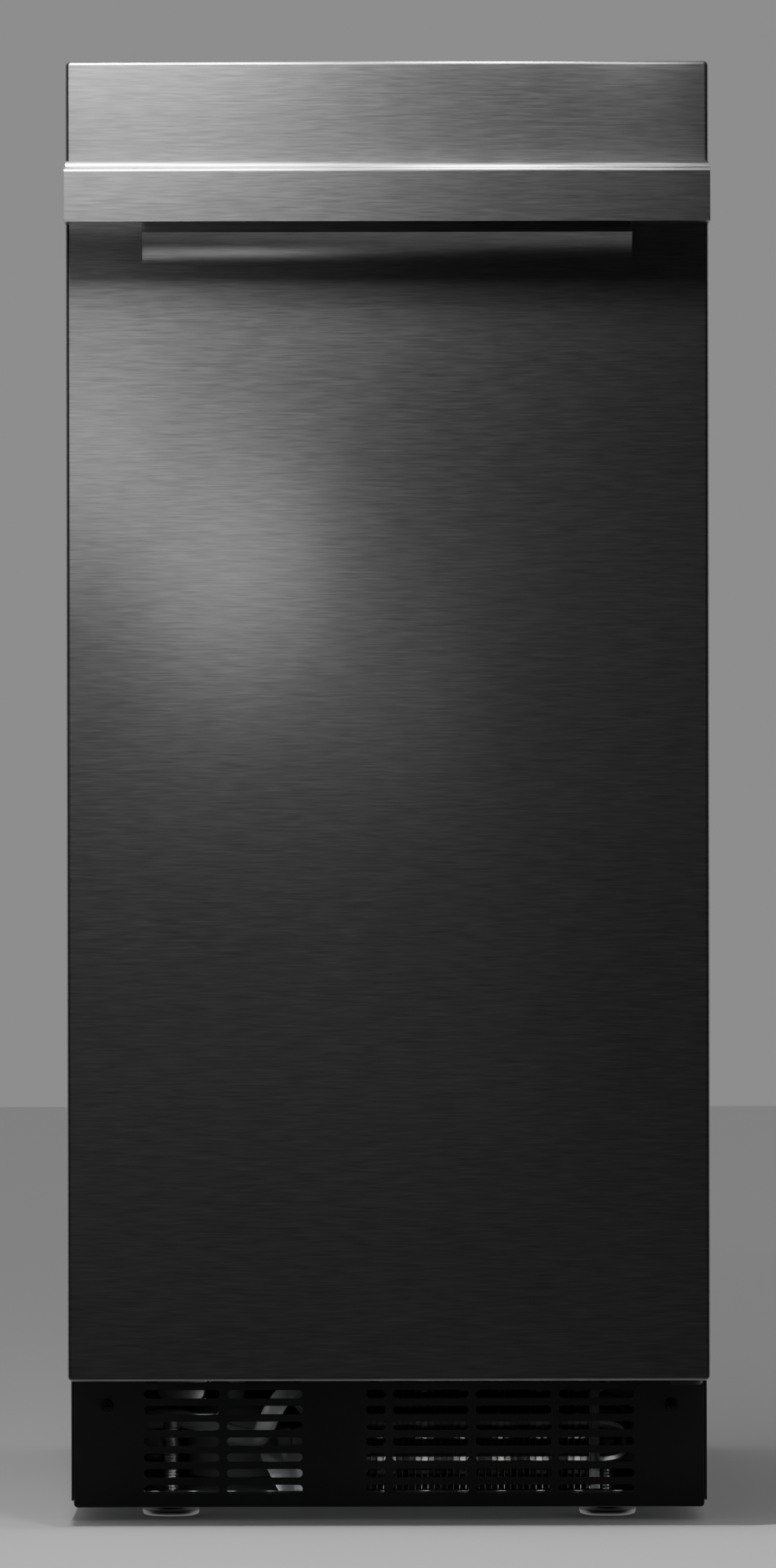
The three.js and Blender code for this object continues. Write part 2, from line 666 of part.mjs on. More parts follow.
function buildIceUnit() {
  const group = new THREE.Group();
  const pump = [PUMP_X, PUMP_Y, 0];
  const hose = [
    [PUMP_X + 22, PUMP_Y + 18, 660 + GAP], [PUMP_X + 22, PUMP_Y + 18, 668], [PUMP_X + 20, 62, 694],
    [PUMP_X + 14, 110, 730],
    [PUMP_X + 8, 160, 752], [PLATE_X0 - 13, 180, 759.5], [PLATE_X0 - 4.4, 180, 759.5],
  ];
  group.add(
    tipped("evaporator_plate", evaporatorPlate(), greySteel, EVAPORATOR_FRONT),
    tipped("evaporator_tubing", evaporatorTubing(), copper, EVAPORATOR_FRONT),
    tipped("water_distributor", waterDistributor(), greyPlastic, EVAPORATOR_FRONT),
    tipped("cutter_grid", cutterGrid(), greyPlastic, GRID_FRONT),
    node("water_pan", waterPan(), greyPlastic),
    node("water_pump", waterPump(), blackPlastic, pump),
    node("pump_impeller", pumpImpeller(), whitePlastic, pump),
    node("pump_hose", tube(hose, 4.5, 20, 8), clearPlastic),
  );
  return group;
}

// ---------------------------------------------------------------- controls and bin fittings
const FASCIA_FRONT = CABINET_FRONT + 8;
const CONTROL_TOP = CEILING_Z - GAP;
const BUTTONS = [["power_button", -96], ["clean_button", -66], ["light_button", -36]];
const BUTTON_Z = 803;

function controlHousing() {
  const y0 = FASCIA_FRONT + 3 + GAP;
  return cut(
    box(-150, 150, y0, -130, 782, CONTROL_TOP),
    box(-147.5, 147.5, y0 - 1, -132.5, 784.5, CONTROL_TOP + 1),
    box(-31, 91, -200, -160, 780, 790),
  );
}

function controlFascia() {
  const holes = BUTTONS.map(([, x]) =>
    rod(7.4, -10, 10, 18).rotateX(Math.PI / 2).translate(x, FASCIA_FRONT, BUTTON_Z),
  );
  return cut(
    alongY(roundedRect(-152, 152, 779, CONTROL_TOP, 4), FASCIA_FRONT, FASCIA_FRONT + 3),
    ...holes,
  );
}

// A round cap with a stem that reaches its switch; the cap's flange stops behind the fascia.
function button() {
  const profile = [
    [0, -8], [2.5, -8], [2.5, -6], [9, -6], [9, -4.8], [7, -4.8], [7, 1.6], [6.2, 2.4], [0, 2.4],
  ];
  return turned(profile, 14).rotateX(Math.PI / 2);
}

function scoop() {
  const wall = 2.2;
  const trough = new THREE.Shape();
  trough.moveTo(-26, 22);
  trough.lineTo(-26, 0);
  trough.absarc(0, 0, 26, Math.PI, 2 * Math.PI, false);
  trough.lineTo(26, 22);
  trough.lineTo(26 - wall, 22);
  trough.lineTo(26 - wall, 0);
  trough.absarc(0, 0, 26 - wall, 2 * Math.PI, Math.PI, true);
  trough.lineTo(-26 + wall, 22);
  const bowl = alongZ(trough, 0, 112, 6);
  const end = new THREE.Shape();
  end.moveTo(-26, 22);
  end.lineTo(-26, 0);
  end.absarc(0, 0, 26, Math.PI, 2 * Math.PI, false);
  end.lineTo(26, 22);
  return join(bowl, alongZ(end, 110, 110 + wall, 6), box(-9, 9, -9, 5, 111, 196));
}

// A cradle on the side wall with a floor the scoop's mouth stands on.
function scoopHolder() {
  const x0 = SCOOP_X + 26 + 2;
  const x1 = LINER_HALF - GAP;
  return join(
    box(x1 - 3, x1, SCOOP_Y - 34, SCOOP_Y + 34, SCOOP_Z - 4, SCOOP_Z + 60),
    box(x0 - 58, x1, SCOOP_Y - 34, SCOOP_Y + 34, SCOOP_Z - 4, SCOOP_Z - GAP),
    box(x0 - 58, x0 - 55.5, SCOOP_Y - 34, SCOOP_Y + 34, SCOOP_Z - 4, SCOOP_Z + 22),
  );
}

function binDrain() {
  const z = BIN_FLOOR_Z;
  const profile = [
    [0, 84], [7.5, 84], [7.5, z + GAP], [15, z + GAP], [15, z + 1.6], [12, z + 3], [0, z + 3],
  ];
  return turned(profile, 18);
}

function buildControls() {
  const group = new THREE.Group();
  group.add(
    node("control_housing", controlHousing(), greyPlastic),
    node("control_fascia", controlFascia(), blackPlastic),
    node("control_board", box(-120, 110, -208, -206.4, 788, 820), greyPlastic),
    node("light_lens", box(-30.7, 90.7, -199.7, -160.3, 780, 788), clearPlastic),
    node("scoop", scoop(), clearPlastic, [SCOOP_X, SCOOP_Y, SCOOP_Z], [0, 0, Math.PI / 2]),
    node("scoop_holder", scoopHolder(), whitePlastic),
    node("bin_drain", binDrain(), greyPlastic, [DRAIN_X, DRAIN_Y, 0]),
  );
  for (const [name, x] of BUTTONS) {
    group.add(node(name, button(), greyPlastic, [x, FASCIA_FRONT, BUTTON_Z]));
  }
  return group;
}

// ---------------------------------------------------------------- machine compartment
// Fins as the teeth of a comb, held by a thin back edge.
function condenserCore() {
  const { x0, x1, y0, y1, z0, z1 } = CONDENSER;
  const fins = Math.floor((x1 - x0) / FIN_PITCH);
  const points = [[x0, y1], [x0, y0]];
  for (let i = 0; i < fins; i++) {
    const x = x0 + i * FIN_PITCH;
    points.push([x + 0.8, y0], [x + 0.8, y1 - 1.5], [x + FIN_PITCH, y1 - 1.5], [x + FIN_PITCH, y0]);
  }
  const last = x0 + fins * FIN_PITCH + 0.8;
  points.push([last, y0], [last, y1]);
  return alongZ(outline(points), z0, z1);
}

// The right-hand end plate with the return bends of every row brazed into it.
function condenserEndPlate() {
  const { x1, y0, y1, z0, z1 } = CONDENSER;
  const plate = box(x1 + 1.6, x1 + 2.8, y0 - 2, y1 + 2, z0, z1);
  const bends = [];
  TUBE_ROWS_Y.forEach((y, row) => {
    const low = row % 2 === 0 ? 35.8 : 46.4;
    bends.push(
      tube([[x1 + 2, y, low], [x1 + 12, y, low], [x1 + 23, y, low + 10.6], [x1 + 12, y, low + 21.2],
        [x1 + 2, y, low + 21.2]], 4, 12, 8),
    );
  });
  return join(plate, ...bends);
}

// A ring about the fan's axis, from front to back.
function collar(inner, outer, y0, y1) {
  const profile = [[inner, y0], [outer, y0], [outer, y1], [inner, y1], [inner, y0]];
  return turned(profile, 24).rotateX(-Math.PI / 2);
}

function fanShroud() {
  const ring = collar(FAN_R + 3, FAN_R + 5, 0, 26).translate(FAN_X, SHROUD_Y, FAN_Z);
  const opening = rod(FAN_R + 3, -5, 5, 24).rotateX(Math.PI / 2).translate(FAN_X, SHROUD_Y, FAN_Z);
  return join(cut(box(-8, 162, SHROUD_Y, SHROUD_Y + 2, PAN_FLOOR + GAP, 234), opening), ring);
}

function fanBlade() {
  const blades = [0, 1, 2, 3, 4].map((i) =>
    box(-17, 17, -0.9, 0.9, 10, FAN_R - 1).rotateZ(0.5).rotateY((i * 2 * Math.PI) / 5),
  );
  const hub = rod(16, -12, 12, 20).rotateX(Math.PI / 2);
  const bore = rod(3.4, -15, -4, 12).rotateX(Math.PI / 2);
  return cut(join(hub, ...blades), bore);
}

// The motor hangs on three arms that are spot-welded to a ring round the shroud's rim.
function fanMotor() {
  const body = turned([[0, 20], [3, 20], [3, 28], [27, 28], [29, 31], [29, 58], [26, 62], [0, 62]], 20)
    .rotateX(-Math.PI / 2);
  const band = collar(FAN_R + 5.4, FAN_R + 7, 12, 20);
  const arms = [0, 1, 2].map((i) =>
    join(box(-5, 5, 30, 33, 20, FAN_R + 6.8), box(-5, 5, 14, 33, FAN_R + 5.6, FAN_R + 6.8))
      .rotateY((i * 2 * Math.PI) / 3),
  );
  return join(body, band, ...arms);
}

// The welded shell with its feet and the terminal box on its right side.
function compressor() {
  const shell = turned([
    [0, 27], [48, 27], [64, 36], [COMPRESSOR_R, 58], [COMPRESSOR_R, 112], [COMPRESSOR_R + 2, 113],
    [COMPRESSOR_R + 2, 119], [COMPRESSOR_R, 120], [COMPRESSOR_R, 146], [62, 176], [38, 192], [0, 197],
  ], 22);
  const feet = [-52, 52].flatMap((x) =>
    [-52, 52].map((y) => rod(9, PAN_FLOOR + GAP, 25, 12).translate(x, y, 0)),
  );
  return join(shell, box(-62, 62, -62, 62, 24, 28), ...feet, box(62, 90, -18, 18, 70, 108));
}

function waterInletValve() {
  const inlet = rod(11.5, -16, 14, 18).rotateX(Math.PI / 2).translate(0, 304, 0);
  return join(
    box(-16, 16, 262, 296, -16, 18),
    inlet,
    rod(13, 16, 42, 16).translate(0, 279, 0),
  );
}

function cordGland() {
  return join(
    rod(10, -16, 3, 16).rotateX(Math.PI / 2),
    turned([[0, -9], [13, -9], [11, -5], [0, -5]], 16).rotateX(Math.PI / 2),
  );
}

function drainPump() {
  const foot = PAN_FLOOR + GAP;
  const neck = 84 - GAP;
  return join(
    turned([[0, foot], [28, foot], [28, 50], [22, 56], [8, 58], [8, neck], [0, neck]], 20),
    rod(6.5, 20, 36, 12).rotateY(Math.PI / 2).translate(0, 0, 36),
  );
}

function serviceBracket() {
  const upright = outline([[-66, 15], [-51, 15], [-51, 41], [-77, 41], [-77, 36]]);
  return join(
    alongY(upright, -207, -205.8),
    box(-66, -51, -207, -190, PAN_FLOOR + GAP, 15.2),
  );
}

function filterDrier() {
  const shell = turned([[0, 0], [5, 0], [13, 8], [13, 82], [5, 90], [0, 90]], 16);
  const fromCondenser = [
    [125, -150, 84], [140, -146, 85], [164, -110, 87], [167, -20, 88], [167, 40, 90], [168, 100, 146],
    [168, 124, 150],
  ];
  const toEvaporator = [
    [168, 206, 150], [166, 222, 156], [140, 226, 172], [126, 228, 200], [126, 228, 250], [126, 228, 290],
    [126, 240, 420], [126, 246, 640], [132, 222, 730],
  ];
  return join(
    shell.rotateX(-Math.PI / 2).translate(168, 120, 150),
    tube(fromCondenser, 2.6, 24, 6),
    tube(toEvaporator, 2.6, 34, 6),
  );
}

function buildMachine() {
  const group = new THREE.Group();
  const discharge = [
    [-31, 143, 130], [-25, 137, 132], [-10, 122, 160], [40, 114, 196], [120, 112, 205], [166, 96, 190],
    [180, 66, 130], [180, 30, 80], [180, -40, 62], [174, -120, 58], [156, -145, 57], [144, -145, 57],
  ];
  const suction = [
    [-17.5, 228.5, 90], [10, 238, 96], [70, 236, 130], [104, 230, 180], [110, 228, 230], [110, 228, 300],
    [104, 244, 420], [102, 246, 640], [98, 226, 716], [92, 208, 732],
  ];
  const supply = [
    [VALVE_X, 279, 102 + GAP], [VALVE_X, 279, 112], [146, 264, 150], [122, 246, 190], [118, 242, 220],
    [118, 242, 300], [118, 256, 420], [118, 256, 560], [118, 190, 640], [118, 90, 672], [118, 44, 670],
    [118, 38, 642],
  ];
  const drain = [
    [DRAIN_X + 36 + GAP, DRAIN_Y, 36], [DRAIN_X + 44, DRAIN_Y, 36], [-46, -92, 46], [-55, -180, 70],
    [-62, -208, 76], [-72, -206, 58], [-84, -150, 42], [-130, -110, 52], [-168, -60, 40], [-172, 60, 36],
    [-172, 220, 40], [-154, 276, 58], [-150, 296, 60], [-150, 318, 60],
  ];
  group.add(
    node("condenser_core", condenserCore(), aluminium),
    node("condenser_end_plate", condenserEndPlate(), greySteel),
    node("fan_shroud", fanShroud(), greySteel),
    node("fan_blade", fanBlade(), blackPlastic, [FAN_X, SHROUD_Y + 15, FAN_Z]),
    node("fan_motor", fanMotor(), greySteel, [FAN_X, SHROUD_Y, FAN_Z]),
    node("compressor", compressor(), compressorBlack, [COMPRESSOR_X, COMPRESSOR_Y, 0]),
    node("filter_drier", filterDrier(), copper),
    node("discharge_line", tube(discharge, 3.2, 34, 6), copper),
    node("suction_line", tube(suction, 4, 36, 6), copper),
    node("water_inlet_valve", waterInletValve(), whitePlastic, [VALVE_X, 0, 60]),
    node("water_supply_tube", tube(supply, 3.2, 36, 6), clearPlastic),
    node("drain_pump", drainPump(), greyPlastic, [DRAIN_X, DRAIN_Y, 0]),
    node("drain_hose", tube(drain, 6, 46, 8), clearPlastic),
    node("cord_gland", cordGland(), blackPlastic, [GLAND_X, CABINET_BACK, GLAND_Z]),
    node("service_bracket", serviceBracket(), greySteel),
    node("junction_box", alongY(roundedRect(-139, -110, 69, 95, 6), -206, -150), blackPlastic),
  );
  return group;
}

// ---------------------------------------------------------------- assembly
const iceMaker = new THREE.Group();
iceMaker.name = "undercounter_ice_maker";
iceMaker.add(buildCabinet(), buildDoor(), buildIceUnit(), buildControls(), buildMachine());
export default iceMaker;
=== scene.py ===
# %% [markdown]
# # An undercounter ice maker, finished in Blender
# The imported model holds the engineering: every piece is in metres, in its real place, and the moving ones
# are already grouped into bodies. This lesson dresses that frame. It gives each piece the surface of the
# real one, and it models again the pieces whose plain solids are too simple to be looked at closely: the
# folded steel door, the slotted toe panel, the finned condenser behind it, the threaded feet and so on.

import json
import math

import bmesh
import bpy
from mathutils import Matrix, Vector

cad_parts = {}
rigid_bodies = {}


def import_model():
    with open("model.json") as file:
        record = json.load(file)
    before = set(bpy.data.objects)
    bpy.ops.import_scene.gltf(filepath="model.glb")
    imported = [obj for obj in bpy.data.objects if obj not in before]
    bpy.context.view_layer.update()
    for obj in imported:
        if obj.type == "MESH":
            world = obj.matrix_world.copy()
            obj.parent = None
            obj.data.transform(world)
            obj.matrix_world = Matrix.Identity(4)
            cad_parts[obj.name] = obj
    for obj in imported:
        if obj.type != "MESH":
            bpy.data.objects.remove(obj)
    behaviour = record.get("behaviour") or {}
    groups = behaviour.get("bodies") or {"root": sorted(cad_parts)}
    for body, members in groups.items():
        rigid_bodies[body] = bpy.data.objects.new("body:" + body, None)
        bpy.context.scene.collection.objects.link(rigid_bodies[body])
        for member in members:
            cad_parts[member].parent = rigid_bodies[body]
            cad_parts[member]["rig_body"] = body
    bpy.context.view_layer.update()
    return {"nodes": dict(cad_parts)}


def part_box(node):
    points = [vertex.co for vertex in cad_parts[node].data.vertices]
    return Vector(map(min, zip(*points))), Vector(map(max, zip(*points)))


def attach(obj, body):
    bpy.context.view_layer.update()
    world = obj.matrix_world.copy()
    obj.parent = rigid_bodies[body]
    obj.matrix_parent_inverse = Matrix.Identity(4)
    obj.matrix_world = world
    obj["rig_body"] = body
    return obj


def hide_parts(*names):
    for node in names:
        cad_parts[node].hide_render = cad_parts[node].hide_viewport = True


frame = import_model()
nodes = frame["nodes"]
MM = 0.001

# %% [markdown]
# ## Writing shader maths as Python
# A procedural material is a graph of small nodes, and a graph written node by node hides its idea. A thin
# wrapper around a socket lets `mask * 0.5 + 0.2` build the Math nodes, so the formula stays readable.
# Colours do not go through it, because a Math node would turn them grey; they are mixed by a node made for
# colours.


# %% A socket that can be used in formulas
class Wire:
    def __init__(self, finish, socket):
        self.finish = finish
        self.socket = socket

    def _math(self, operation, *values, clamp=False):
        return self.finish.node("ShaderNodeMath", {"operation": operation, "use_clamp": clamp}, values)

    def __add__(self, other):
        return self._math("ADD", self, other)

    def __sub__(self, other):
        return self._math("SUBTRACT", self, other)

    def __mul__(self, other):
        return self._math("MULTIPLY", self, other)

    def clamped(self):
        return self._math("ADD", self, 0.0, clamp=True)


# %% [markdown]
# ## One maker for every finish
# Each finish starts from the Principled shader, the one shader that the exporters understand. What is the
# same all over a surface, such as how metallic steel is, is typed straight into the shader's socket. Only
# what varies, such as a grain or a smudge, is wired in. All patterns are laid out in Object coordinates, in
# metres, so a grain keeps its real size on every piece and stays put when the piece moves.


# %% The finish maker
class Finish:
    def __init__(self, name, **constants):
        self.material = bpy.data.materials.new(name)
        self.material.use_nodes = True
        self.tree = self.material.node_tree
        self.shader = self.tree.nodes["Principled BSDF"]
        for socket, value in constants.items():
            self.shader.inputs[socket.replace("_", " ")].default_value = value
        self.place = self.node("ShaderNodeTexCoord", output="Object")

    def node(self, kind, settings=None, values=(), output=0):
        made = self.tree.nodes.new(kind)
        for setting, value in (settings or {}).items():
            setattr(made, setting, value)
        pairs = values.items() if isinstance(values, dict) else enumerate(values)
        for key, value in pairs:
            if isinstance(value, Wire):
                self.tree.links.new(value.socket, made.inputs[key])
            else:
                made.inputs[key].default_value = value
        return Wire(self, made.outputs[output])

    def stretched(self, scale, turn=(0, 0, 0)):
        """Object coordinates with each axis multiplied by its own scale."""
        values = {"Vector": self.place, "Scale": scale, "Rotation": turn}
        return self.node("ShaderNodeMapping", {"vector_type": "POINT"}, values)

    def noise(self, scale, detail=2.0, stretch=(1, 1, 1), roughness=0.5):
        vector = self.stretched(stretch)
        values = {"Vector": vector, "Scale": scale, "Detail": detail, "Roughness": roughness}
        return self.node("ShaderNodeTexNoise", {}, values, output="Fac")

    def cells(self, scale, output):
        """A Voronoi pattern in Object coordinates."""
        values = {"Vector": self.place, "Scale": scale}
        return self.node("ShaderNodeTexVoronoi", {"feature": "F1"}, values, output)

    def blend(self, factor, first, second):
        """A colour between two colours. A Mix node repeats its socket names, so they go by number."""
        ends = {0: factor, 6: (*first, 1), 7: (*second, 1)}
        return self.node("ShaderNodeMix", {"data_type": "RGBA"}, ends, output=2)

    def wire(self, **values):
        for socket, value in values.items():
            self.tree.links.new(value.socket, self.shader.inputs[socket.replace("_", " ")])

    def bump(self, height, distance, strength=1.0):
        values = {"Height": height, "Distance": distance, "Strength": strength}
        self.wire(Normal=self.node("ShaderNodeBump", {}, values, output="Normal"))


# %% [markdown]
# ## From a bmesh to a piece of the object
# Every new piece is shaped in a bmesh, Blender's editable mesh, and then handed over in one step: it gets
# its finish, its name and the body it moves with. Its object stays at the origin, so Object coordinates
# are the object's own metres. Faces are shaded smooth, except across edges sharper than about 35 degrees,
# which is how a folded or turned metal part reads.


PIECES = []


def hand_over(name, bm, finish, stands_for=(), like=None, smooth_below=35, seen_from=None):
    """Makes the piece; it belongs with the node it stands for, or with the node that it is like.

    An open sheet that is looked into, not at, is turned so that its largest face looks to seen_from.
    """
    bmesh.ops.recalc_face_normals(bm, faces=bm.faces)
    if seen_from:
        largest = max(bm.faces, key=lambda face: face.calc_area())
        if largest.normal.dot(Vector(seen_from) - largest.calc_center_median()) < 0:
            bmesh.ops.reverse_faces(bm, faces=bm.faces)
    mesh = bpy.data.meshes.new(name)
    bm.to_mesh(mesh)
    bm.free()
    mesh.polygons.foreach_set("use_smooth", [True] * len(mesh.polygons))
    mesh.set_sharp_from_angle(angle=math.radians(smooth_below))
    mesh.materials.append(finish.material)
    piece = bpy.data.objects.new(name, mesh)
    bpy.context.scene.collection.objects.link(piece)
    home = like or stands_for[0]
    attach(piece, nodes[home]["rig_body"])
    if stands_for:
        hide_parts(*stands_for)
    PIECES.append(piece)
    return piece


def thickened(sheet, thickness):
    """Gives an open sheet its thickness, behind the side that is seen."""
    wall = sheet.modifiers.new("wall", "SOLIDIFY")
    wall.thickness = thickness
    wall.offset = -1


# %% [markdown]
# ## Small shaping helpers
# Nearly every piece starts as a block, a turned profile or a bent tube. A block is a unit cube moved to its
# two corners. A turned piece is a chain of edges spun round an axis, as on a lathe. A tube is a curve with a
# round bevel, made a mesh at once. Where a hole goes through a sheet, a cutter is subtracted from it, just
# as a punch would do.


# %% Blocks, bevels and turned shapes
def block(bm, low, high):
    low, high = Vector(low), Vector(high)
    place = Matrix.Translation((low + high) / 2) @ Matrix.Diagonal((*(high - low), 1))
    return bmesh.ops.create_cube(bm, size=1, matrix=place)["verts"]


def edges_of(verts):
    return list({edge for vert in verts for edge in vert.link_edges})


def runs_along(edge, axis):
    span = edge.verts[1].co - edge.verts[0].co
    return abs(span[axis]) > 0.999 * span.length


def bevel(bm, edges, width, segments=3):
    return bmesh.ops.bevel(
        bm, geom=edges, offset=width, offset_type="OFFSET", affect="EDGES",
        segments=segments, profile=0.5, material=-1, clamp_overlap=True,
    )


def soft_block(bm, low, high, radius, segments=3):
    bevel(bm, edges_of(block(bm, low, high)), radius, segments)


def turned(bm, profile, centre, axis="z", steps=32):
    """Spins (radius, height) points, listed upwards, about Z or, with heights forwards, about Y."""
    verts = [bm.verts.new((radius, 0, height)) for radius, height in profile]
    edges = [bm.edges.new(pair) for pair in zip(verts, verts[1:])]
    spun = bmesh.ops.spin(
        bm, geom=verts + edges, cent=(0, 0, 0), axis=(0, 0, 1), angle=2 * math.pi,
        steps=steps, use_merge=True, use_duplicate=False,
    )
    made = list({v for e in spun["geom_last"] if isinstance(e, bmesh.types.BMVert) for v in connected(e)})
    bmesh.ops.remove_doubles(bm, verts=made, dist=1e-6)
    made = [v for v in made if v.is_valid]
    turn = Matrix.Rotation(math.pi / 2, 4, "X") if axis == "y" else Matrix()
    bmesh.ops.transform(bm, verts=made, matrix=Matrix.Translation(centre) @ turn)


def connected(start):
    found, waiting = {start}, [start]
    while waiting:
        for edge in waiting.pop().link_edges:
            for vert in edge.verts:
                if vert not in found:
                    found.add(vert)
                    waiting.append(vert)
    return found


# %% Punching one shape out of another
def punched(bm, cutter):
    """The solid bm less the solid cutter, as a new bmesh."""
    objects = []
    for name, source in (("blank", bm), ("punch", cutter)):
        bmesh.ops.recalc_face_normals(source, faces=source.faces)
        mesh = bpy.data.meshes.new(name)
        source.to_mesh(mesh)
        source.free()
        objects.append(bpy.data.objects.new(name, mesh))
        bpy.context.scene.collection.objects.link(objects[-1])
    modifier = objects[0].modifiers.new("punch", "BOOLEAN")
    modifier.operation = "DIFFERENCE"
    modifier.solver = "EXACT"
    modifier.object = objects[1]
    result = bmesh.new()
    result.from_object(objects[0], bpy.context.evaluated_depsgraph_get())
    for each in objects:
        mesh = each.data
        bpy.data.objects.remove(each)
        bpy.data.meshes.remove(mesh)
    return result


# %% Bent tubes
def tube(bm, points, radius, bends=6, sides=12):
    """A round tube along a smooth line through points, added to bm."""
    curve = bpy.data.curves.new("tube", "CURVE")
    curve.dimensions = "3D"
    curve.bevel_depth = radius
    curve.bevel_resolution = sides // 4
    curve.use_fill_caps = True
    curve.resolution_u = bends
    spline = curve.splines.new("BEZIER")
    spline.bezier_points.add(len(points) - 1)
    for spot, point in zip(spline.bezier_points, points):
        spot.co = point
        spot.handle_left_type = spot.handle_right_type = "AUTO"
    holder = bpy.data.objects.new("tube", curve)
    bpy.context.scene.collection.objects.link(holder)
    mesh = holder.evaluated_get(bpy.context.evaluated_depsgraph_get()).to_mesh()
    bm.from_mesh(mesh)
    bpy.data.objects.remove(holder)
    bpy.data.curves.remove(curve)


print("helpers ready")

# %% [markdown]
# ## Brushed stainless steel
# The door is ferritic stainless brushed along its width. Thousands of fine grooves blur a reflection up and
# down and leave it sharper sideways, so the steel is anisotropic. The grooves also vary in depth, so the
# tone, and a little the roughness, carry two noises drawn out some fifteen times along X. A third, broad
# noise gives the faint clouding of handled steel. The anisotropy is the same everywhere, so it sits on the
# shader itself, turned a quarter so that the blur runs across the grooves.


# %% Brushed steel
GROOVES_PER_METRE = (60, 900, 1300)
STREAKS_PER_METRE = (50, 700, 900)
BRUSH_CONTRAST = 0.26


def brushed_steel(name, tone, roughness):
    finish = Finish(name, Metallic=1.0, Anisotropic=0.475, Anisotropic_Rotation=0.25, Roughness=roughness)
    grooves = finish.noise(1.0, 3.0, GROOVES_PER_METRE)
    streaks = finish.noise(1.0, 2.0, STREAKS_PER_METRE)
    clouds = finish.noise(6.0, 3.0)
    shade = (grooves - 0.5) * 1.3 + (streaks - 0.5) * 0.9 + (clouds - 0.5) * 0.2 + 0.5
    dark = tuple(channel * (1 - BRUSH_CONTRAST) for channel in tone)
    light = tuple(min(1.0, channel * (1 + BRUSH_CONTRAST)) for channel in tone)
    finish.wire(
        Base_Color=finish.blend(shade.clamped(), dark, light),
        Roughness=((grooves - 0.5) * 0.03 + (clouds - 0.5) * 0.02 + roughness).clamped(),
    )
    finish.bump(grooves, 0.00001, 0.3)
    return finish


door_steel = brushed_steel("door_steel", (0.60, 0.60, 0.60), 0.306)
print("door steel ready")

# %% [markdown]
# ## The camera
# The object is seen straight on from about five metres away, at half its height. A long lens at that
# distance keeps the sides of the door parallel. The camera is aimed level, so upright edges stay upright but
# for a roll of a tenth of a degree.

# %% Camera
door_low, door_high = (Vector(corner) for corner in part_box("door_skin"))
DOOR_DISTANCE = 4.8
FRAME_HEIGHT = 0.9214
EYE_HEIGHT = 0.438
SENSOR = 36
CAMERA_ROLL = math.radians(0.1)

camera_data = bpy.data.cameras.new("camera")
camera_data.sensor_width = SENSOR
camera_data.lens = SENSOR * DOOR_DISTANCE / FRAME_HEIGHT
camera_data.clip_end = 50
camera = bpy.data.objects.new("camera", camera_data)
camera.location = (0, door_low.y - DOOR_DISTANCE, EYE_HEIGHT)
camera.rotation_euler = (math.pi / 2, CAMERA_ROLL, 0)
bpy.context.scene.collection.objects.link(camera)
bpy.context.scene.camera = camera
print("lens", round(camera_data.lens, 1), "mm")

# %% [markdown]
# ## Studio
# The floor is one pale sheet. Steel shows what stands in front of it, so the light on it is built from a few
# small soft lamps. Those above and in front of the door make the upper left corner bright and throw a crisp
# shadow under the handle ledge. The weak ones further down stretch the glow along the left side. They are
# hidden from the camera, as a photographer would keep them out of the frame. A row of tiny ones lies on the
# pan behind the toe panel, so that the fins and tubes can be made out through the slots.

# %% Floor and lamps
# Name, place and radius in metres, power in watts
SOFT_LAMPS = [
    ("key_lamp", (-0.200, -0.570, 1.200), 0.03, 7.9),
    ("key_lamp_low", (-0.200, -0.570, 1.100), 0.03, 7.7),
    ("ledge_lamp", (-0.100, -0.480, 1.100), 0.03, 5.4),
    ("top_lamp", (0.060, -0.350, 1.100), 0.04, 4.2),
    ("right_lamp", (0.150, -0.420, 0.950), 0.03, 0.12),
    ("left_lamp", (-0.200, -0.620, 0.650), 0.06, 0.087),
    ("middle_lamp", (-0.100, -0.620, 0.580), 0.06, 0.085),
    ("low_lamp", (0.000, -0.620, 0.500), 0.06, 0.010),
    ("compartment_lamp", (-0.110, -0.216, 0.070), 0.005, 0.006),
]
PAN_LAMPS = 13
PAN_LAMP_LEFT = -0.14
PAN_LAMP_STEP = 0.023


def floor():
    bm = bmesh.new()
    bmesh.ops.create_grid(bm, x_segments=1, y_segments=1, size=6)
    mesh = bpy.data.meshes.new("studio_floor")
    bm.to_mesh(mesh)
    bm.free()
    paper = Finish("floor_paper", Base_Color=(0.78, 0.78, 0.78, 1), Roughness=0.8)
    paper.bump(paper.noise(90.0, 4.0), 0.0004, 0.3)
    mesh.materials.append(paper.material)
    made = bpy.data.objects.new("studio_floor", mesh)
    bpy.context.scene.collection.objects.link(made)
    made.visible_glossy = False


def lamp(name, place, radius, power):
    light = bpy.data.lights.new(name, "POINT")
    light.shadow_soft_size = radius
    light.energy = power
    made = bpy.data.objects.new(name, light)
    made.location = place
    made.visible_camera = False
    bpy.context.scene.collection.objects.link(made)


floor()
for name, place, radius, power in SOFT_LAMPS:
    lamp(name, place, radius, power)
for number in range(PAN_LAMPS):
    x = PAN_LAMP_LEFT + PAN_LAMP_STEP * number
    lamp(f"pan_lamp_{number}", (x, -0.2215, 0.0175), 0.003, 0.0016)
print(len(SOFT_LAMPS) + PAN_LAMPS, "lamps")

# %% [markdown]
# ## The air of the studio
# The background is one even pale grey. What the steel reflects is set apart from it: dark in front, so that
# the lamps alone shape the door, and pale behind, above and below, which is what draws the thin bright line
# along each rounded edge of the sheet. The Light Path node tells a reflected ray from the others.

# %% World
PALE = 0.28
DARK = 0.006


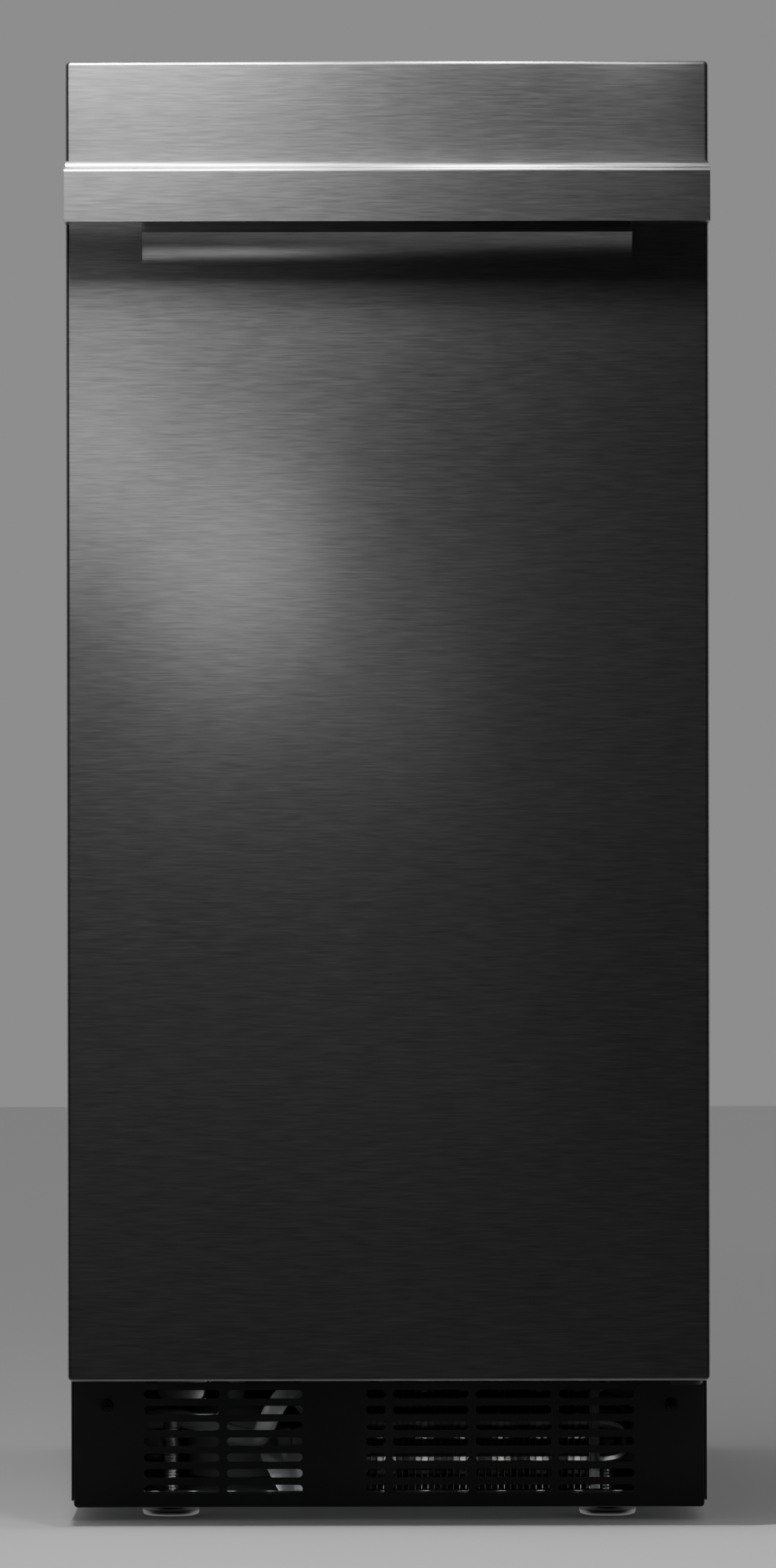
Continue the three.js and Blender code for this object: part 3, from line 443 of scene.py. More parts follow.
def studio_air():
    world = bpy.data.worlds.new("studio_air")
    world.use_nodes = True
    tree = world.node_tree
    place = tree.nodes.new("ShaderNodeTexCoord").outputs["Generated"]
    split = tree.nodes.new("ShaderNodeSeparateXYZ")
    tree.links.new(place, split.inputs[0])
    up_down = tree.nodes.new("ShaderNodeMath")
    up_down.operation = "ABSOLUTE"
    tree.links.new(split.outputs["Z"], up_down.inputs[0])
    glow = []
    sides = ((split.outputs["Y"], -0.35, 0.6, PALE), (up_down.outputs[0], 0.5, 1.0, 0.4 * PALE))
    for source, low, high, top in sides:
        ramp = tree.nodes.new("ShaderNodeMapRange")
        ramp.interpolation_type = "SMOOTHSTEP"
        for key, value in (("From Min", low), ("From Max", high), ("To Min", DARK), ("To Max", top)):
            ramp.inputs[key].default_value = value
        tree.links.new(source, ramp.inputs["Value"])
        glow.append(ramp.outputs[0])
    both = tree.nodes.new("ShaderNodeMath")
    both.operation = "MAXIMUM"
    for socket, value in zip(both.inputs, glow):
        tree.links.new(value, socket)
    path = tree.nodes.new("ShaderNodeLightPath")
    chosen = tree.nodes.new("ShaderNodeMix")
    chosen.inputs[2].default_value = PALE
    tree.links.new(path.outputs["Is Glossy Ray"], chosen.inputs[0])
    tree.links.new(both.outputs[0], chosen.inputs[3])
    tree.links.new(chosen.outputs[0], tree.nodes["Background"].inputs["Strength"])
    tree.nodes["Background"].inputs["Color"].default_value = (1, 1, 1, 1)
    bpy.context.scene.world = world


studio_air()
print("world ready")

# %% [markdown]
# ## The folded door skin
# The door's face is one steel sheet. Its four corners are cut round and every edge is folded back, so each
# edge shows a thin bright bend. A block whose edges are bevelled makes that shape in two moves: first the
# four corners, then the rim of the front. The back is taken off, the top and bottom folds are cut short
# where the plastic end caps fill in, and a Solidify modifier gives the sheet its 0.9 mm.


# %% Door skin
SHEET = 0.9 * MM
FOLD_DEPTH = 14 * MM


def cut_at(bm, axis, at):
    normal = Vector((0, 0, 0))
    normal[axis] = 1
    whole = bm.verts[:] + bm.edges[:] + bm.faces[:]
    bmesh.ops.bisect_plane(bm, geom=whole, plane_co=normal * at, plane_no=normal, dist=1e-7)


def drop_faces(bm, unwanted):
    bmesh.ops.delete(bm, geom=[face for face in bm.faces if unwanted(face)], context="FACES")


def door_skin():
    bm = bmesh.new()
    verts = block(bm, door_low, door_high)
    bevel(bm, [e for e in edges_of(verts) if runs_along(e, 1)], 3 * MM, 5)
    rim = [e for e in bm.edges if all(abs(v.co.y - door_low.y) < 1e-6 for v in e.verts)]
    bevel(bm, rim, 2.4 * MM, 5)
    drop_faces(bm, lambda face: face.normal.y > 0.9)
    fold_end = door_low.y + FOLD_DEPTH
    cut_at(bm, 1, fold_end)
    drop_faces(bm, lambda face: abs(face.normal.z) > 0.99 and face.calc_center_median().y > fold_end)
    notch = Vector((0.150, door_low.y + 9 * MM, 0.855))
    for axis in range(3):
        cut_at(bm, axis, notch[axis])
    drop_faces(bm, lambda face: all(face.calc_center_median()[axis] > notch[axis] for axis in range(3)))
    skin = hand_over("door_face_sheet", bm, door_steel, ["door_skin"])
    thickened(skin, SHEET)
    print("door skin", len(skin.data.polygons), "faces")


door_skin()

# %% [markdown]
# ## The handle ledge
# There is no bar to hold. The sheet swells out into a ledge across the whole width, and fingers hook under
# it. Its section tells the story: a hollow curve leaves the door, a flat top runs forwards, a small round
# edge turns down into a face that leans back a little, and the lip ends sharp. So the section is drawn as a
# chain of points, filled, and pushed along X by extrusion. The ends get a small bevel, and a pocket is
# punched out from below between two solid end blocks. A second section, part of a circle, is pushed between
# the blocks to lead the fingers up behind the lip.


# %% Handle ledge
ledge_low, ledge_high = (Vector(corner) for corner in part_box("door_handle"))
LEDGE_HEIGHT = 32 * MM
LIP_WALL = 1.4 * MM
POCKET_HALF = 143 * MM


def arc(centre, radius, start, end, steps):
    """Points of an arc in the Y-Z plane, angles in degrees."""
    angles = [math.radians(start + (end - start) * i / steps) for i in range(steps + 1)]
    return [(centre[0] + radius * math.cos(a), centre[1] + radius * math.sin(a)) for a in angles]


def pushed_along_x(bm, section, x0, x1):
    """Fills a Y-Z section and extrudes it from x0 to x1."""
    verts = [bm.verts.new((x0, y, z)) for y, z in section]
    face = bm.faces.new(verts)
    pushed = bmesh.ops.extrude_face_region(bm, geom=[face], use_keep_orig=True)["geom"]
    moved = [g for g in pushed if isinstance(g, bmesh.types.BMVert)]
    bmesh.ops.translate(bm, verts=moved, vec=(x1 - x0, 0, 0))


def ledge_section():
    front, back = ledge_low.y, door_low.y
    bottom, top = ledge_low.z, ledge_low.z + LEDGE_HEIGHT
    nose = 3.2 * MM
    fillet = 5 * MM
    lean = 1.5 * MM
    round_nose = arc((front + nose + lean, top - nose), nose, 176.5, 90, 10)
    hollow = arc((back - fillet, top + fillet), fillet, -90, 0, 10)
    inside = [(back + 0.4 * MM, hollow[-1][1]), (back + 0.4 * MM, bottom)]
    return [(front, bottom), *round_nose, *hollow, *inside]


def ledge():
    bm = bmesh.new()
    pushed_along_x(bm, ledge_section(), ledge_low.x, ledge_high.x)
    bmesh.ops.recalc_face_normals(bm, faces=bm.faces)
    front_ends = [
        e for e in bm.edges
        if e.verts[0].co.x == e.verts[1].co.x and max(v.co.y for v in e.verts) < door_low.y - 1 * MM
        and e.calc_length() > 2e-4 and min(v.co.z for v in e.verts) >= ledge_low.z
        and not (abs(e.verts[0].co.z - ledge_low.z) < 1e-6 and abs(e.verts[1].co.z - ledge_low.z) < 1e-6)
    ]
    bevel(bm, front_ends, 1.2 * MM, 3)
    cutter = bmesh.new()
    front, back = ledge_low.y + LIP_WALL, door_low.y + 0.2 * MM
    mouth, top = ledge_low.z - 5 * MM, ledge_low.z + LEDGE_HEIGHT
    roof = arc((front + 6 * MM, top - 9 * MM), 6 * MM, 170, 95, 5)
    pocket = [(front, mouth), (front, top - 9 * MM), *roof, (back, top - 2 * MM), (back, mouth)]
    pushed_along_x(cutter, pocket, -POCKET_HALF, POCKET_HALF)
    carved = punched(bm, cutter)
    made = hand_over("door_ledge", carved, door_steel, ["door_handle"])
    print("ledge", len(made.data.polygons), "faces")


def finger_dish():
    """The curve that leads the fingers up behind the lip; its ends are rounded into the end blocks."""
    radius, rise = 24 * MM, 48
    back = door_low.y + 0.02 * MM
    curve = arc((back - radius, ledge_low.z - 23 * MM), radius, 0, rise, 10)
    top = ledge_low.z + 6 * MM
    bm = bmesh.new()
    half = POCKET_HALF + 1 * MM
    pushed_along_x(bm, [*curve, (curve[-1][0], top), (back, top)], -half, half)
    bmesh.ops.recalc_face_normals(bm, faces=bm.faces)
    ends = [
        e for e in bm.edges
        if e.verts[0].co.x == e.verts[1].co.x and max(v.co.y for v in e.verts) < back - 0.01 * MM
        and min(v.co.z for v in e.verts) < ledge_low.z
    ]
    bevel(bm, ends, 2.5 * MM, 4)
    hand_over("finger_dish", bm, door_steel, like="door_handle")
    print("finger dish ready")


ledge()
finger_dish()

# %% [markdown]
# ## The toe panel
# Under the door a shallow black pan closes the machine compartment. It breathes through rows of punched
# slots with round ends, laid out on a regular grid, except that one column is cut short where a partition
# stands behind it. Repeats are best made by a loop over the grid: each slot is a block whose four long edges
# are bevelled until its ends are half round. All of them are punched out at once.

# %% Toe panel
toe_low, toe_high = (Vector(corner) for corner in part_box("toe_grille"))
SLOT_ROWS, SLOT_COLUMNS, SHORT_COLUMN = 8, 6, 2
SLOT = Vector((45, 0, 5)) * MM
SLOT_STEP = Vector((49.35, 0, 9.4)) * MM
SLOT_FIRST_Z = 18.9 * MM
SHORT_SLOT_LEFT = -13.5 * MM
HINGE_CORNER_X, HINGE_CORNER_Z = 0.148, 0.0826
black_coat = Finish("black_coat", Base_Color=(0.018, 0.018, 0.019, 1), Roughness=0.5)
peel = black_coat.noise(900.0, 2.0)
cloud = black_coat.noise(14.0, 3.0)
black_coat.wire(Roughness=((peel - 0.5) * 0.1 + (cloud - 0.5) * 0.15 + 0.46).clamped())
black_coat.wire(Base_Color=black_coat.blend(cloud, (0.014, 0.014, 0.015), (0.024, 0.024, 0.025)))
black_coat.bump(peel, 0.00006, 0.5)


def slot_cutters():
    cutter = bmesh.new()
    for row in range(SLOT_ROWS):
        z = SLOT_FIRST_Z + row * SLOT_STEP.z
        for column in range(SLOT_COLUMNS):
            x = (column - (SLOT_COLUMNS - 1) / 2) * SLOT_STEP.x
            left = SHORT_SLOT_LEFT if column == SHORT_COLUMN else x - SLOT.x / 2
            low = (left, toe_low.y - 5 * MM, z - SLOT.z / 2)
            high = (x + SLOT.x / 2, toe_low.y + 5 * MM, z + SLOT.z / 2)
            verts = block(cutter, low, high)
            bevel(cutter, [e for e in edges_of(verts) if runs_along(e, 1)], 2.4 * MM, 5)
    return cutter


def toe_panel():
    bm = bmesh.new()
    verts = block(bm, toe_low, toe_high)
    bevel(bm, [e for e in edges_of(verts) if runs_along(e, 1)], 2.3 * MM, 4)
    rim = [e for e in bm.edges if all(abs(v.co.y - toe_low.y) < 1e-6 for v in e.verts)]
    bevel(bm, rim, 1.1 * MM, 3)
    wall = Vector((1.2, 1.2, 1.2)) * MM
    hollow = bmesh.new()
    block(hollow, toe_low + wall, toe_high + Vector((-wall.x, wall.y, wall.z)))
    corner = bmesh.new()
    block(corner, (HINGE_CORNER_X, toe_low.y - 1 * MM, HINGE_CORNER_Z), toe_high + wall)
    pan = punched(punched(punched(bm, hollow), corner), slot_cutters())
    made = hand_over("toe_panel", pan, black_coat, ["toe_grille"])
    print("toe panel", len(made.data.polygons), "faces")


toe_panel()

# %% [markdown]
# ## Cross-head screws
# Two black pan-head screws hold the toe panel. A pan head is a turned shape, so its outline is spun round
# the screw's axis. The cross is then punched out by two narrow blocks, which is enough for a screw seen from
# far off, and it still catches a glint in the recess.

# %% Toe panel screws
black_oxide = Finish("black_oxide", Metallic=0.8, Roughness=0.3)
oxide_cloud = black_oxide.noise(700.0, 2.0)
black_oxide.wire(Base_Color=black_oxide.blend(oxide_cloud, (0.03, 0.03, 0.03), (0.07, 0.07, 0.07)))
black_oxide.wire(Roughness=(oxide_cloud * 0.2 + 0.2).clamped())


def toe_screw(name):
    low, high = (Vector(corner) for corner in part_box(name))
    centre = (low + high) / 2
    face = low.y
    bm = bmesh.new()
    head = [(0, 0), (1.6, 0.05), (2.8, 0.4), (3.5, 1.1), (3.8, 2.0), (3.8, 2.5)]
    head += [(2.0, 2.5), (2.0, 11.0), (0, 11.6)]
    turned(bm, [(r * MM, -h * MM) for r, h in head][::-1], (centre.x, face, centre.z), "y", 24)
    for quarter in range(2):
        cutter = bmesh.new()
        half = Vector((2.3, 1.5, 0.42) if quarter == 0 else (0.42, 1.5, 2.3)) * MM
        middle = Vector((centre.x, face - 0.2 * MM, centre.z))
        block(cutter, middle - half, middle + half)
        bm = punched(bm, cutter)
    made = hand_over(name + "_cross_head", bm, black_oxide, [name])
    print(name, [round(v * 1000, 1) for v in made.dimensions])


for screw in ("toe_screw_left", "toe_screw_right"):
    toe_screw(screw)

# %% [markdown]
# ## The condenser
# The refrigerant gives off its heat in rows of horizontal tubes pressed through a pack of thin upright fins.
# One fin is a thin plate, folded into a shallow ripple that stiffens it, so a grid of a few faces is enough,
# and a loop stands the fins side by side. The tubes run back and forth through them and turn round in the
# return bends outside the end plates.

# %% Condenser fins
fins_low, fins_high = (Vector(corner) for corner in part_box("condenser_core"))
plate_low, plate_high = (Vector(corner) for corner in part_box("condenser_end_plate"))
FIN_STEP = 3.8 * MM
TUBE_ROWS = [(-205 * MM, 35.8 * MM), (-175 * MM, 46.4 * MM), (-145 * MM, 35.8 * MM)]
TUBE_RISE = 21.2 * MM
TUBE_RADIUS = 4 * MM

fin_metal = Finish("fin_metal", Metallic=0.85, Roughness=0.45)
fin_dust = fin_metal.noise(60.0, 4.0)
fin_metal.wire(Base_Color=fin_metal.blend(fin_dust, (0.10, 0.10, 0.10), (0.22, 0.22, 0.22)))
fin_metal.wire(Roughness=(fin_dust * 0.3 + 0.3).clamped())


def fin_pack():
    bm = bmesh.new()
    count = int((fins_high.x - fins_low.x) / FIN_STEP) + 1
    for number in range(count):
        x = fins_low.x + 0.3 * MM + number * FIN_STEP
        made = bmesh.ops.create_grid(bm, x_segments=8, y_segments=1, size=0.5)["verts"]
        place = Matrix.Translation((x, (fins_low.y + fins_high.y) / 2, (fins_low.z + fins_high.z) / 2))
        shape = Matrix.Diagonal((fins_high.y - fins_low.y, fins_high.z - fins_low.z, 1, 1))
        upright = Matrix(((0, 0, 1, 0), (1, 0, 0, 0), (0, 1, 0, 0), (0, 0, 0, 1)))
        bmesh.ops.transform(bm, verts=made, matrix=place @ upright @ shape)
        for vert in made:
            vert.co.x += 0.35 * MM * math.sin((vert.co.y - fins_low.y) / (9 * MM))
    bmesh.ops.solidify(bm, geom=bm.faces[:], thickness=0.28 * MM)
    made = hand_over("fin_pack", bm, fin_metal, ["condenser_core"])
    print(count, "fins,", len(made.data.polygons), "faces")


fin_pack()

# %% [markdown]
# ## Tubes and end plates
# Each row of tubes is one curve that goes back and forth. A curve with a round bevel is the natural tool,
# since it keeps its section through every bend. The galvanised end plates are folded sheets with a spangled
# surface, which a Voronoi pattern gives: every cell is one zinc crystal with its own slight shade.


# %% Bare tube metal and galvanised sheet
def tube_metal(name, dark, light, roughness):
    finish = Finish(name, Metallic=1.0, Roughness=roughness)
    haze = finish.noise(120.0, 3.0)
    finish.wire(Base_Color=finish.blend(haze, dark, light))
    finish.wire(Roughness=(haze * 0.25 + roughness - 0.1).clamped())
    return finish


def zinc_sheet(name):
    finish = Finish(name, Metallic=0.9, Roughness=0.42)
    cells = finish.cells(130.0, "Color")
    spangle = finish.node("ShaderNodeSeparateColor", {}, {"Color": cells}, "Red")
    haze = finish.noise(9.0, 3.0)
    shade = (spangle * 0.7 + haze * 0.3).clamped()
    finish.wire(Base_Color=finish.blend(shade, (0.34, 0.35, 0.36), (0.56, 0.57, 0.58)))
    finish.wire(Roughness=(spangle * 0.2 + haze * 0.15 + 0.25).clamped())
    return finish


steel_tube = tube_metal("steel_tube", (0.42, 0.41, 0.40), (0.62, 0.61, 0.60), 0.3)
copper = tube_metal("copper_tube", (0.45, 0.20, 0.11), (0.72, 0.37, 0.22), 0.3)
zinc = zinc_sheet("zinc_sheet")


def condenser_tubes():
    bm = bmesh.new()
    left, right = fins_low.x - 5 * MM, fins_high.x + 12 * MM
    for y, low in TUBE_ROWS:
        below, middle, above = low - TUBE_RISE, low, low + TUBE_RISE
        if below > fins_low.z + 5 * MM:
            tube(bm, [(left, y, below), (right - 12 * MM, y, below)], TUBE_RADIUS)
        points = [(left, y, middle), (right - 8 * MM, y, middle), (right, y, middle)]
        points += [(right + 9.5 * MM, y, middle + 4 * MM), (right + 11 * MM, y, (middle + above) / 2)]
        points += [(right + 9.5 * MM, y, above - 4 * MM), (right, y, above)]
        points += [(right - 8 * MM, y, above), (left, y, above)]
        tube(bm, points, TUBE_RADIUS, bends=8)
    top = TUBE_ROWS[0][1] + 2 * TUBE_RISE
    for y in (TUBE_ROWS[0][0], TUBE_ROWS[2][0]):
        tube(bm, [(left, y, top), (right - 12 * MM, y, top)], TUBE_RADIUS)
    made = hand_over("condenser_tubes", bm, steel_tube, ["condenser_end_plate"])
    print("condenser tubes", len(made.data.polygons), "faces")


def end_plates():
    bm = bmesh.new()
    for x in (fins_low.x - 2 * MM, plate_low.x):
        low = (x, plate_low.y, plate_low.z)
        soft_block(bm, low, (x + 1.2 * MM, plate_high.y, plate_high.z), 0.3 * MM, 1)
        soft_block(bm, low, (x + 6 * MM, plate_low.y + 1.2 * MM, plate_high.z), 0.3 * MM, 1)
    hand_over("condenser_end_plates", bm, zinc, like="condenser_end_plate")


condenser_tubes()
end_plates()

# %% [markdown]
# ## Levelling feet
# A foot is a pressed steel disc on a threaded stud, and turning it raises the cabinet. The thread is a real
# helix here. One V-shaped notch of the thread is spun round the stud, and each turn is lifted by one pitch,
# which is what the spin operator's dvec does. The disc is a turned shape.

# %% Feet
THREAD_STEP = 1.75 * MM
zinc_plate = tube_metal("zinc_plate", (0.45, 0.45, 0.44), (0.66, 0.66, 0.65), 0.3)


def threaded(bm, centre, radius, low, high, step):
    """A stud: a core with a helical ridge wound round it."""
    turns = int((high - low) / step)
    ridge = [bm.verts.new((radius - 0.75 * MM, 0, low)), bm.verts.new((radius, 0, low + step / 2))]
    ridge.append(bm.verts.new((radius - 0.75 * MM, 0, low + step)))
    edges = [bm.edges.new(pair) for pair in zip(ridge, ridge[1:])]
    per_turn = 16
    rise = step / per_turn
    before = set(bm.verts) - set(ridge)
    bmesh.ops.spin(
        bm, geom=ridge + edges, cent=(0, 0, 0), axis=(0, 0, 1), dvec=(0, 0, rise), angle=2 * math.pi * turns,
        steps=per_turn * turns, use_merge=False, use_duplicate=False,
    )
    wound = [v for v in bm.verts if v not in before]
    bmesh.ops.remove_doubles(bm, verts=wound, dist=1e-6)
    wound = [v for v in wound if v.is_valid]
    bmesh.ops.translate(bm, verts=wound, vec=centre)


def foot(name):
    low, high = (Vector(corner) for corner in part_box(name))
    centre = Vector(((low.x + high.x) / 2, (low.y + high.y) / 2, 0))
    bm = bmesh.new()
    disc = [(0, 0), (14.6, 0), (16.2, 0.5), (16.9, 1.8), (16.9, 3.4), (15.6, 4.6), (10, 6.4)]
    disc += [(9, 7.4), (9, 11.6), (0, 11.6)]
    turned(bm, [(r * MM, h * MM) for r, h in disc], centre, steps=36)
    core, root = 4.3 * MM, 11 * MM
    stud = [(0, root), (core, root), (core, high.z - 0.2 * MM), (3.4 * MM, high.z), (0, high.z)]
    turned(bm, stud, centre, steps=20)
    threaded(bm, centre, 5 * MM, 12.5 * MM, high.z - 2 * THREAD_STEP, THREAD_STEP)
    hand_over(name + "_threaded", bm, zinc_plate, [name], smooth_below=50)


for corner in ("front_left", "front_right", "rear_left", "rear_right"):
    foot("leveling_leg_" + corner)
print("feet ready")

# %% [markdown]
# ## Finishes for the other pieces
# A moulded plastic has a faint leather-like grain from the mould and a sheen that varies where hands and
# water have been. An enamel has a coarser grain, like the skin of an orange. Rigid foam is a mass of tiny
# closed cells, so a Voronoi pattern pits it. Clear hoses let light through, which is a constant on the
# shader.

# %% Plastics, enamel and foam
def moulded(name, dark, light, roughness, grain=1400.0, **constants):
    finish = Finish(name, Roughness=roughness, **constants)
    skin = finish.noise(grain, 2.0)
    wear = finish.noise(11.0, 4.0)
    finish.wire(Base_Color=finish.blend((wear * 0.8 + skin * 0.2).clamped(), dark, light))
    finish.wire(Roughness=((wear - 0.5) * 0.25 + (skin - 0.5) * 0.1 + roughness).clamped())
    finish.bump(skin, 0.00005, 0.4)
    return finish


def enamel(name, dark, light, roughness):
    return moulded(name, dark, light, roughness, grain=500.0)


def rigid_foam(name):
    finish = Finish(name, Roughness=0.9)
    cells = finish.cells(900.0, "Distance")
    clouds = finish.noise(25.0, 3.0)
    shade = (cells * 0.6 + clouds * 0.4).clamped()
    finish.wire(Base_Color=finish.blend(shade, (0.78, 0.66, 0.38), (0.58, 0.46, 0.24)))
    finish.bump(cells, 0.0004, 0.6)
    return finish


cabinet_black = enamel("cabinet_enamel", (0.022, 0.022, 0.023), (0.032, 0.032, 0.033), 0.42)
shell_black = enamel("compressor_enamel", (0.009, 0.009, 0.010), (0.016, 0.016, 0.017), 0.24)
motor_grey = enamel("motor_enamel", (0.13, 0.14, 0.15), (0.20, 0.21, 0.22), 0.4)
liner_white = moulded("liner_plastic", (0.74, 0.75, 0.74), (0.82, 0.83, 0.83), 0.36)
grey_moulding = moulded("grey_moulding", (0.33, 0.34, 0.35), (0.42, 0.43, 0.44), 0.42)
black_moulding = moulded("black_moulding", (0.018, 0.018, 0.019), (0.030, 0.030, 0.031), 0.45)
button_grey = moulded("button_moulding", (0.26, 0.27, 0.28), (0.33, 0.34, 0.35), 0.35)
nylon = moulded("natural_nylon", (0.70, 0.69, 0.62), (0.80, 0.79, 0.73), 0.4, Subsurface_Weight=0.1)
seal_vinyl = moulded("seal_vinyl", (0.17, 0.17, 0.18), (0.23, 0.23, 0.24), 0.6, 700.0)
hose_vinyl = moulded(
    "hose_vinyl", (0.72, 0.75, 0.74), (0.82, 0.84, 0.83), 0.22, Transmission_Weight=0.55, IOR=1.45,
)
scoop_clear = moulded(
    "scoop_polycarbonate", (0.66, 0.71, 0.74), (0.76, 0.80, 0.82), 0.18, Transmission_Weight=0.5,
)
lens_frost = moulded("frosted_lens", (0.82, 0.84, 0.85), (0.90, 0.91, 0.92), 0.5, Transmission_Weight=0.4)
foam = rigid_foam("rigid_foam")
nickel = brushed_steel("nickel_plate", (0.55, 0.55, 0.52), 0.3)
print("plastics and paints ready")

# %% Circuit board finish
def solder_mask(name):
    finish = Finish(name, Roughness=0.3)
    laid_flat = finish.stretched((260, 260, 260), (math.pi / 2, 0, 0))
    rows = finish.node("ShaderNodeTexBrick", {}, {"Vector": laid_flat, "Scale": 1.0}, "Fac")
    finish.wire(Base_Color=finish.blend(rows, (0.02, 0.14, 0.06), (0.05, 0.26, 0.11)))
    finish.bump(rows, 0.00005, 0.5)
    return finish


board_green = solder_mask("solder_mask")

# %% [markdown]
# ## Softening a plain solid
# Many pieces already have their true shape in the frame and lack only what a real edge has: a small radius
# that catches the light. Their mesh is copied, its loose triangles are merged back into whole faces, and
# every sharp edge is bevelled. A copy is used because a node of the frame is never changed.


# %% Copies of frame nodes with rounded edges
def copy_of(node):
    bm = bmesh.new()
    bm.from_mesh(nodes[node].data)
    bmesh.ops.remove_doubles(bm, verts=bm.verts[:], dist=2e-6)
    return bm


def sharp_edges(bm, degrees):
    return [e for e in bm.edges if len(e.link_faces) == 2 and e.calc_face_angle(0) > math.radians(degrees)]


def softened(node, finish, width, segments=2, name=None):
    bm = copy_of(node)
    bmesh.ops.dissolve_limit(bm, angle_limit=math.radians(0.6), verts=bm.verts[:], edges=bm.edges[:])
    bevel(bm, sharp_edges(bm, 40), width, segments)
    made = hand_over(name or node + "_finished", bm, finish, [node])
    print(node, "softened,", len(made.data.polygons), "faces")


# %% [markdown]
# ## Rounding a swept tube
# A tube in the frame has six or eight flat sides. A Subdivision Surface turns such a ring into a smooth
# round one, but it also draws it in, so the tube is swelled first by just as much. The ends keep their flat
# cut because their edges are creased.


# %% Round tubes out of sided ones
JUST_UNDER = 0.98


def rounded(node, finish, radius, sides):
    bm = copy_of(node)
    bmesh.ops.join_triangles(
        bm, faces=bm.faces[:], angle_face_threshold=math.radians(30), angle_shape_threshold=math.radians(180),
    )
    drawn_in = (2 + math.cos(2 * math.pi / sides)) / 3
    swell = radius * (JUST_UNDER / drawn_in - 1)
    bm.normal_update()
    for vert in bm.verts:
        if not any(len(face.verts) == sides for face in vert.link_faces):
            vert.co += vert.normal * swell
    crease = bm.edges.layers.float.new("crease_edge")
    for edge in sharp_edges(bm, 75):
        edge[crease] = 1.0
    made = hand_over(node + "_round", bm, finish, [node], smooth_below=60)
    smooth = made.modifiers.new("round", "SUBSURF")
    smooth.levels = smooth.render_levels = 1 if radius < 4 * MM else 2
    print(node, "rounded")


# %% [markdown]
# ## The black cabinet
# The wrapper is one sheet bent over the top and down both sides, with a narrow flange turned in round the
# front. Its frame shape is already right, so it keeps it: every sharp edge of the sheet is rounded by about
# half its thickness, which is what catches the light along a painted fold.

# %% Cabinet wrapper
softened("cabinet_wrapper", cabinet_black, 0.5 * MM, segments=3, name="cabinet_shell")

# %% [markdown]
# ## The white liner
# Liners are formed from one hot plastic sheet, so every inside corner has a generous radius. The outline of
# the cavity is drawn from the side: lip, bin, sloping rear wall, the step over the machinery, back and
# ceiling. It is pushed across the width, all its edges are bevelled, and the front is opened. The rim of the
# opening is extruded into the flat face the door seals against. The whole is cut at the height of the lip,
# where the real one is joined from an upper liner and a lower bin.

# %% Liner and bin
LINER_HALF = 155 * MM
LIP = 290 * MM
liner_low, liner_high = (Vector(corner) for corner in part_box("cabinet_liner"))
bin_low = Vector(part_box("ice_bin")[0])
LINER_TOP = 826 * MM
LINER_BACK = 266 * MM
BIN_FRONT, BIN_BACK, BIN_FLOOR = -203 * MM, -38 * MM, 135 * MM
STEP_FRONT, STEP_TOP = -16 * MM, 275 * MM
IN_FRONT = (0, -1, 0.55)
LINER_CORNER = 9 * MM
LINER_WALL = 1.4 * MM


def liner_surface():
    front = liner_low.y
    section = [
        (front - 20 * MM, LIP), (BIN_FRONT, LIP), (BIN_FRONT, BIN_FLOOR), (BIN_BACK, BIN_FLOOR),
        (STEP_FRONT, STEP_TOP), (LINER_BACK, STEP_TOP), (LINER_BACK, LINER_TOP), (front - 20 * MM, LINER_TOP),
    ]
    bm = bmesh.new()
    pushed_along_x(bm, section, -LINER_HALF, LINER_HALF)
    bmesh.ops.recalc_face_normals(bm, faces=bm.faces)
    corners = [e for e in bm.edges if max(v.co.y for v in e.verts) > front]
    bevel(bm, corners, LINER_CORNER, 5)
    cut_at(bm, 1, front)
    drop_faces(bm, lambda face: face.calc_center_median().y < front)
    rim = [e for e in bm.edges if e.is_boundary and all(abs(v.co.y - front) < 1e-5 for v in e.verts)]
    turned_out = bmesh.ops.extrude_edge_only(bm, edges=rim)["geom"]
    for vert in (g for g in turned_out if isinstance(g, bmesh.types.BMVert)):
        if abs(vert.co.x) > LINER_HALF - LINER_CORNER - 0.1 * MM:
            vert.co.x = math.copysign(liner_high.x, vert.co.x)
        if vert.co.z > LINER_TOP - 0.1 * MM:
            vert.co.z = liner_high.z
        elif vert.co.z < LIP + LINER_CORNER:
            share = (vert.co.z - LIP) / LINER_CORNER
            vert.co.z = bin_low.z + share * (LIP + LINER_CORNER - bin_low.z)
    bmesh.ops.recalc_face_normals(bm, faces=bm.faces)
    bevel(bm, [e for e in rim if e.is_valid], 1.5 * MM, 3)
    return bm


def liner_part(name, node, above):
    bm = liner_surface()
    seam = LIP + (0.3 * MM if above else 0.1 * MM)
    bmesh.ops.bisect_plane(
        bm, geom=bm.verts[:] + bm.edges[:] + bm.faces[:], plane_co=(0, 0, seam),
        plane_no=(0, 0, 1 if above else -1), clear_inner=True, dist=1e-7,
    )
    made = hand_over(name, bm, liner_white, [node], smooth_below=50, seen_from=IN_FRONT)
    thickened(made, LINER_WALL)


liner_part("formed_liner", "cabinet_liner", True)
liner_part("formed_bin", "ice_bin", False)
print("liner ready")

# %% [markdown]
# ## Folded and formed pieces that need only soft edges
# Brackets, trays and mouldings keep their frame shape. A table says which finish each one has and how round
# its edges are, and a loop does the rest. Bent sheet has a small radius, a moulding a larger one.

